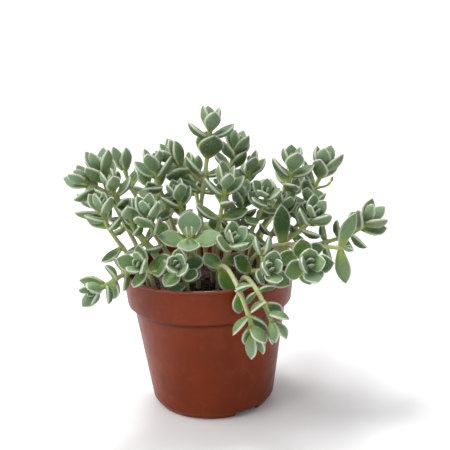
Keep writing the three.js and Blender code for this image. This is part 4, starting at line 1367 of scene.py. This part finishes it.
def stem_skin(settings, leaf):
    """Corky near the soil, pale in the middle and green near the tip, with streaks."""
    recipe = Recipe("stem_skin")
    along = recipe.attribute("along")
    streak = recipe.noise(size=1.6, detail=4)
    pale = recipe.spread(recipe.plus(along, recipe.times(streak, STREAK_WANDER)), low=0.1, high=0.55)
    colour = recipe.mixed(pale, settings.old_colour, settings.pale_colour)
    colour = recipe.mixed(recipe.spread(along, low=0.5, high=1.0), colour, settings.young_colour)
    streaks = recipe.times(recipe.spread(streak, low=0.5, high=0.7), STREAK_SHARE)
    colour = recipe.mixed(streaks, colour, leaf.base_colour)
    recipe.set(Base_Color=colour, Roughness=0.7, Sheen_Weight=0.2)
    recipe.bump(streak, depth=0.15, strength=0.6)
    return recipe.material


def bud_skin(settings):
    recipe = Recipe("bud_skin")
    share = recipe.spread(recipe.noise(size=0.9), low=0.35, high=0.7)
    recipe.set(Base_Color=recipe.mixed(share, settings.bud_colour, settings.base_colour), Roughness=0.65)
    recipe.bump(recipe.noise(size=0.5), depth=0.1, strength=0.5)
    return recipe.material


def hair_white(settings):
    recipe = Recipe("hair_white")
    recipe.set(Base_Color=settings.colour, Roughness=0.55)
    return recipe.material


def floor_paint(settings):
    recipe = Recipe("floor_paint")
    share = recipe.times(recipe.noise(size=60, detail=2), FLOOR_CLOUD)
    recipe.set(Base_Color=recipe.mixed(share, settings.floor_colour, FLOOR_CLOUD_COLOUR), Roughness=0.7)
    return recipe.material


# The add-on's operators
class PLANT_OT_nursery_pot(bpy.types.Operator):
    """Make the plastic pot"""
    bl_idname = "plant.nursery_pot"
    bl_label = "Nursery Pot"

    def execute(self, context):
        settings = context.scene.plant_pot
        body = pot_plastic(settings, "pot_plastic", BODY_COAT)
        lip = pot_plastic(settings, "lip_plastic", LIP_COAT)
        piece_of(make_pot(settings), "nursery_pot", [body, lip], ["pot"])
        return {"FINISHED"}


class PLANT_OT_soil(bpy.types.Operator):
    """Make the soil and the crumbs, fibres and grit on it"""
    bl_idname = "plant.soil"
    bl_label = "Soil"

    def execute(self, context):
        settings = context.scene.plant_soil
        damp = peat("damp_peat", settings.colour, settings.dry_colour, low=0.45, high=1.0)
        piece_of(make_soil(settings), "peat_fill", [damp], ["soil"])
        crumb = peat("peat_crumb", settings.colour, settings.dry_colour, low=0.6, high=1.7)
        bark = peat("bark_fibre", settings.dry_colour, settings.fibre_colour, low=0.5, high=1.3)
        grit = peat("white_grit", settings.fibre_colour, settings.grit_colour, low=0.2, high=0.7)
        for name, count, form, material in (
            ("peat_crumbs", settings.crumbs, CRUMBS, crumb),
            ("bark_fibres", settings.fibres, FIBRES, bark),
            ("grit_grains", settings.grit, GRIT, grit),
        ):
            piece_of(crumb_mesh(settings, count, **form), name, [material])
        return {"FINISHED"}


class PLANT_OT_leafy_stems(bpy.types.Operator):
    """Make every stem with its leaves"""
    bl_idname = "plant.leafy_stems"
    bl_label = "Leafy Stems"

    def execute(self, context):
        stems, leaves = plan()
        leaf = context.scene.plant_leaf
        materials = [leaf_skin(leaf), stem_skin(context.scene.plant_stem, leaf), bud_skin(leaf)]
        for stem in stems:
            if stem.rooted:
                make_leafy_stem(stem.plant, stems, leaves, materials)
        return {"FINISHED"}


class PLANT_OT_down(bpy.types.Operator):
    """Grow the fringe and the down on the leaves and stems"""
    bl_idname = "plant.down"
    bl_label = "Down"

    def execute(self, context):
        stems, leaves = plan()
        settings = context.scene.plant_hair
        material = hair_white(settings)
        for stem in stems:
            if stem.rooted:
                make_down(stem.plant, stems, leaves, material, settings)
        return {"FINISHED"}


def soft_light(name, place, target, size, power):
    data = bpy.data.lights.new(name, "AREA")
    data.shape = "DISK"
    data.size = size
    data.energy = power
    light = bpy.data.objects.new(name, data)
    light.location = place
    light.rotation_euler = (Vector(target) - Vector(place)).to_track_quat("-Z", "Y").to_euler()
    bpy.context.scene.collection.objects.link(light)


def make_camera(settings):
    pitch, yaw, roll = settings.camera_pitch, settings.camera_yaw, settings.camera_roll
    forward = Vector((math.sin(yaw) * math.cos(pitch), math.cos(yaw) * math.cos(pitch), -math.sin(pitch)))
    right = forward.cross(Vector((0, 0, 1))).normalized()
    up = right.cross(forward)
    leaned_right = right * math.cos(roll) + up * math.sin(roll)
    leaned_up = up * math.cos(roll) - right * math.sin(roll)
    data = bpy.data.cameras.new("camera")
    data.sensor_width = SENSOR_WIDTH
    data.lens = settings.lens
    camera = bpy.data.objects.new("camera", data)
    turn = Matrix((leaned_right, leaned_up, -forward)).transposed().to_4x4()
    camera.matrix_world = Matrix.Translation((0, -settings.camera_back, settings.camera_height)) @ turn
    bpy.context.scene.collection.objects.link(camera)
    bpy.context.scene.camera = camera


def make_floor(settings):
    """A plain floor whose back edge rises as a wall."""
    bm = bmesh.new()
    bmesh.ops.create_grid(bm, x_segments=1, y_segments=1, size=settings.floor_size / 2)
    back = [edge for edge in bm.edges if all(vert.co.y > 0 for vert in edge.verts)]
    risen = bmesh.ops.extrude_edge_only(bm, edges=back)["geom"]
    wall_top = [part for part in risen if isinstance(part, bmesh.types.BMVert)]
    bmesh.ops.translate(bm, verts=wall_top, vec=(0, 0, settings.wall_height))
    mesh = bpy.data.meshes.new("floor")
    bm.to_mesh(mesh)
    bm.free()
    mesh.materials.append(floor_paint(settings))
    floor = bpy.data.objects.new("floor", mesh)
    bpy.context.scene.collection.objects.link(floor)


def make_world(settings):
    """Even white light from all round."""
    world = bpy.data.worlds.new("studio")
    world.use_nodes = True
    background = world.node_tree.nodes["Background"]
    background.inputs["Color"].default_value = (1, 1, 1, 1)
    background.inputs["Strength"].default_value = settings.world_strength
    bpy.context.scene.world = world


class PLANT_OT_stage(bpy.types.Operator):
    """Set up the floor, the lights and the camera"""
    bl_idname = "plant.stage"
    bl_label = "Stage"

    def execute(self, context):
        settings = context.scene.plant_stage
        make_floor(settings)
        make_world(settings)
        for name, (place, target, size) in LIGHTS.items():
            soft_light(name, place, target, size, getattr(settings, f"{name}_power"))
        context.scene.view_settings.view_transform = "Standard"
        make_camera(settings)
        return {"FINISHED"}


class PLANT_PT_panel(bpy.types.Panel):
    """The plant's pieces, in the order in which they are made"""
    bl_idname = "PLANT_PT_panel"
    bl_label = "Potted Crassula"
    bl_space_type = "VIEW_3D"
    bl_region_type = "UI"
    bl_category = "Plant"

    def draw(self, context):
        for operator in OPERATORS:
            self.layout.operator(operator.bl_idname)
        for name, group in SETTINGS.items():
            box = self.layout.box()
            for key in group.__annotations__:
                box.prop(getattr(context.scene, name), key)


SETTINGS = {
    "plant_pot": PotSettings,
    "plant_soil": SoilSettings,
    "plant_leaf": LeafSettings,
    "plant_stem": StemSettings,
    "plant_hair": HairSettings,
    "plant_stage": StageSettings,
}
OPERATORS = [PLANT_OT_stage, PLANT_OT_nursery_pot, PLANT_OT_soil, PLANT_OT_leafy_stems, PLANT_OT_down]
CLASSES = [*SETTINGS.values(), *OPERATORS, PLANT_PT_panel]


def register():
    for cls in CLASSES:
        bpy.utils.register_class(cls)
    for name, group in SETTINGS.items():
        setattr(bpy.types.Scene, name, PointerProperty(type=group))


def unregister():
    for name in SETTINGS:
        delattr(bpy.types.Scene, name)
    for cls in reversed(CLASSES):
        bpy.utils.unregister_class(cls)


def main():
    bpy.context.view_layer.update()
    register()
    bpy.ops.plant.stage()
    bpy.ops.plant.nursery_pot()
    bpy.ops.plant.soil()
    bpy.ops.plant.leafy_stems()
    bpy.ops.plant.down()


if __name__ == "__main__":
    main()
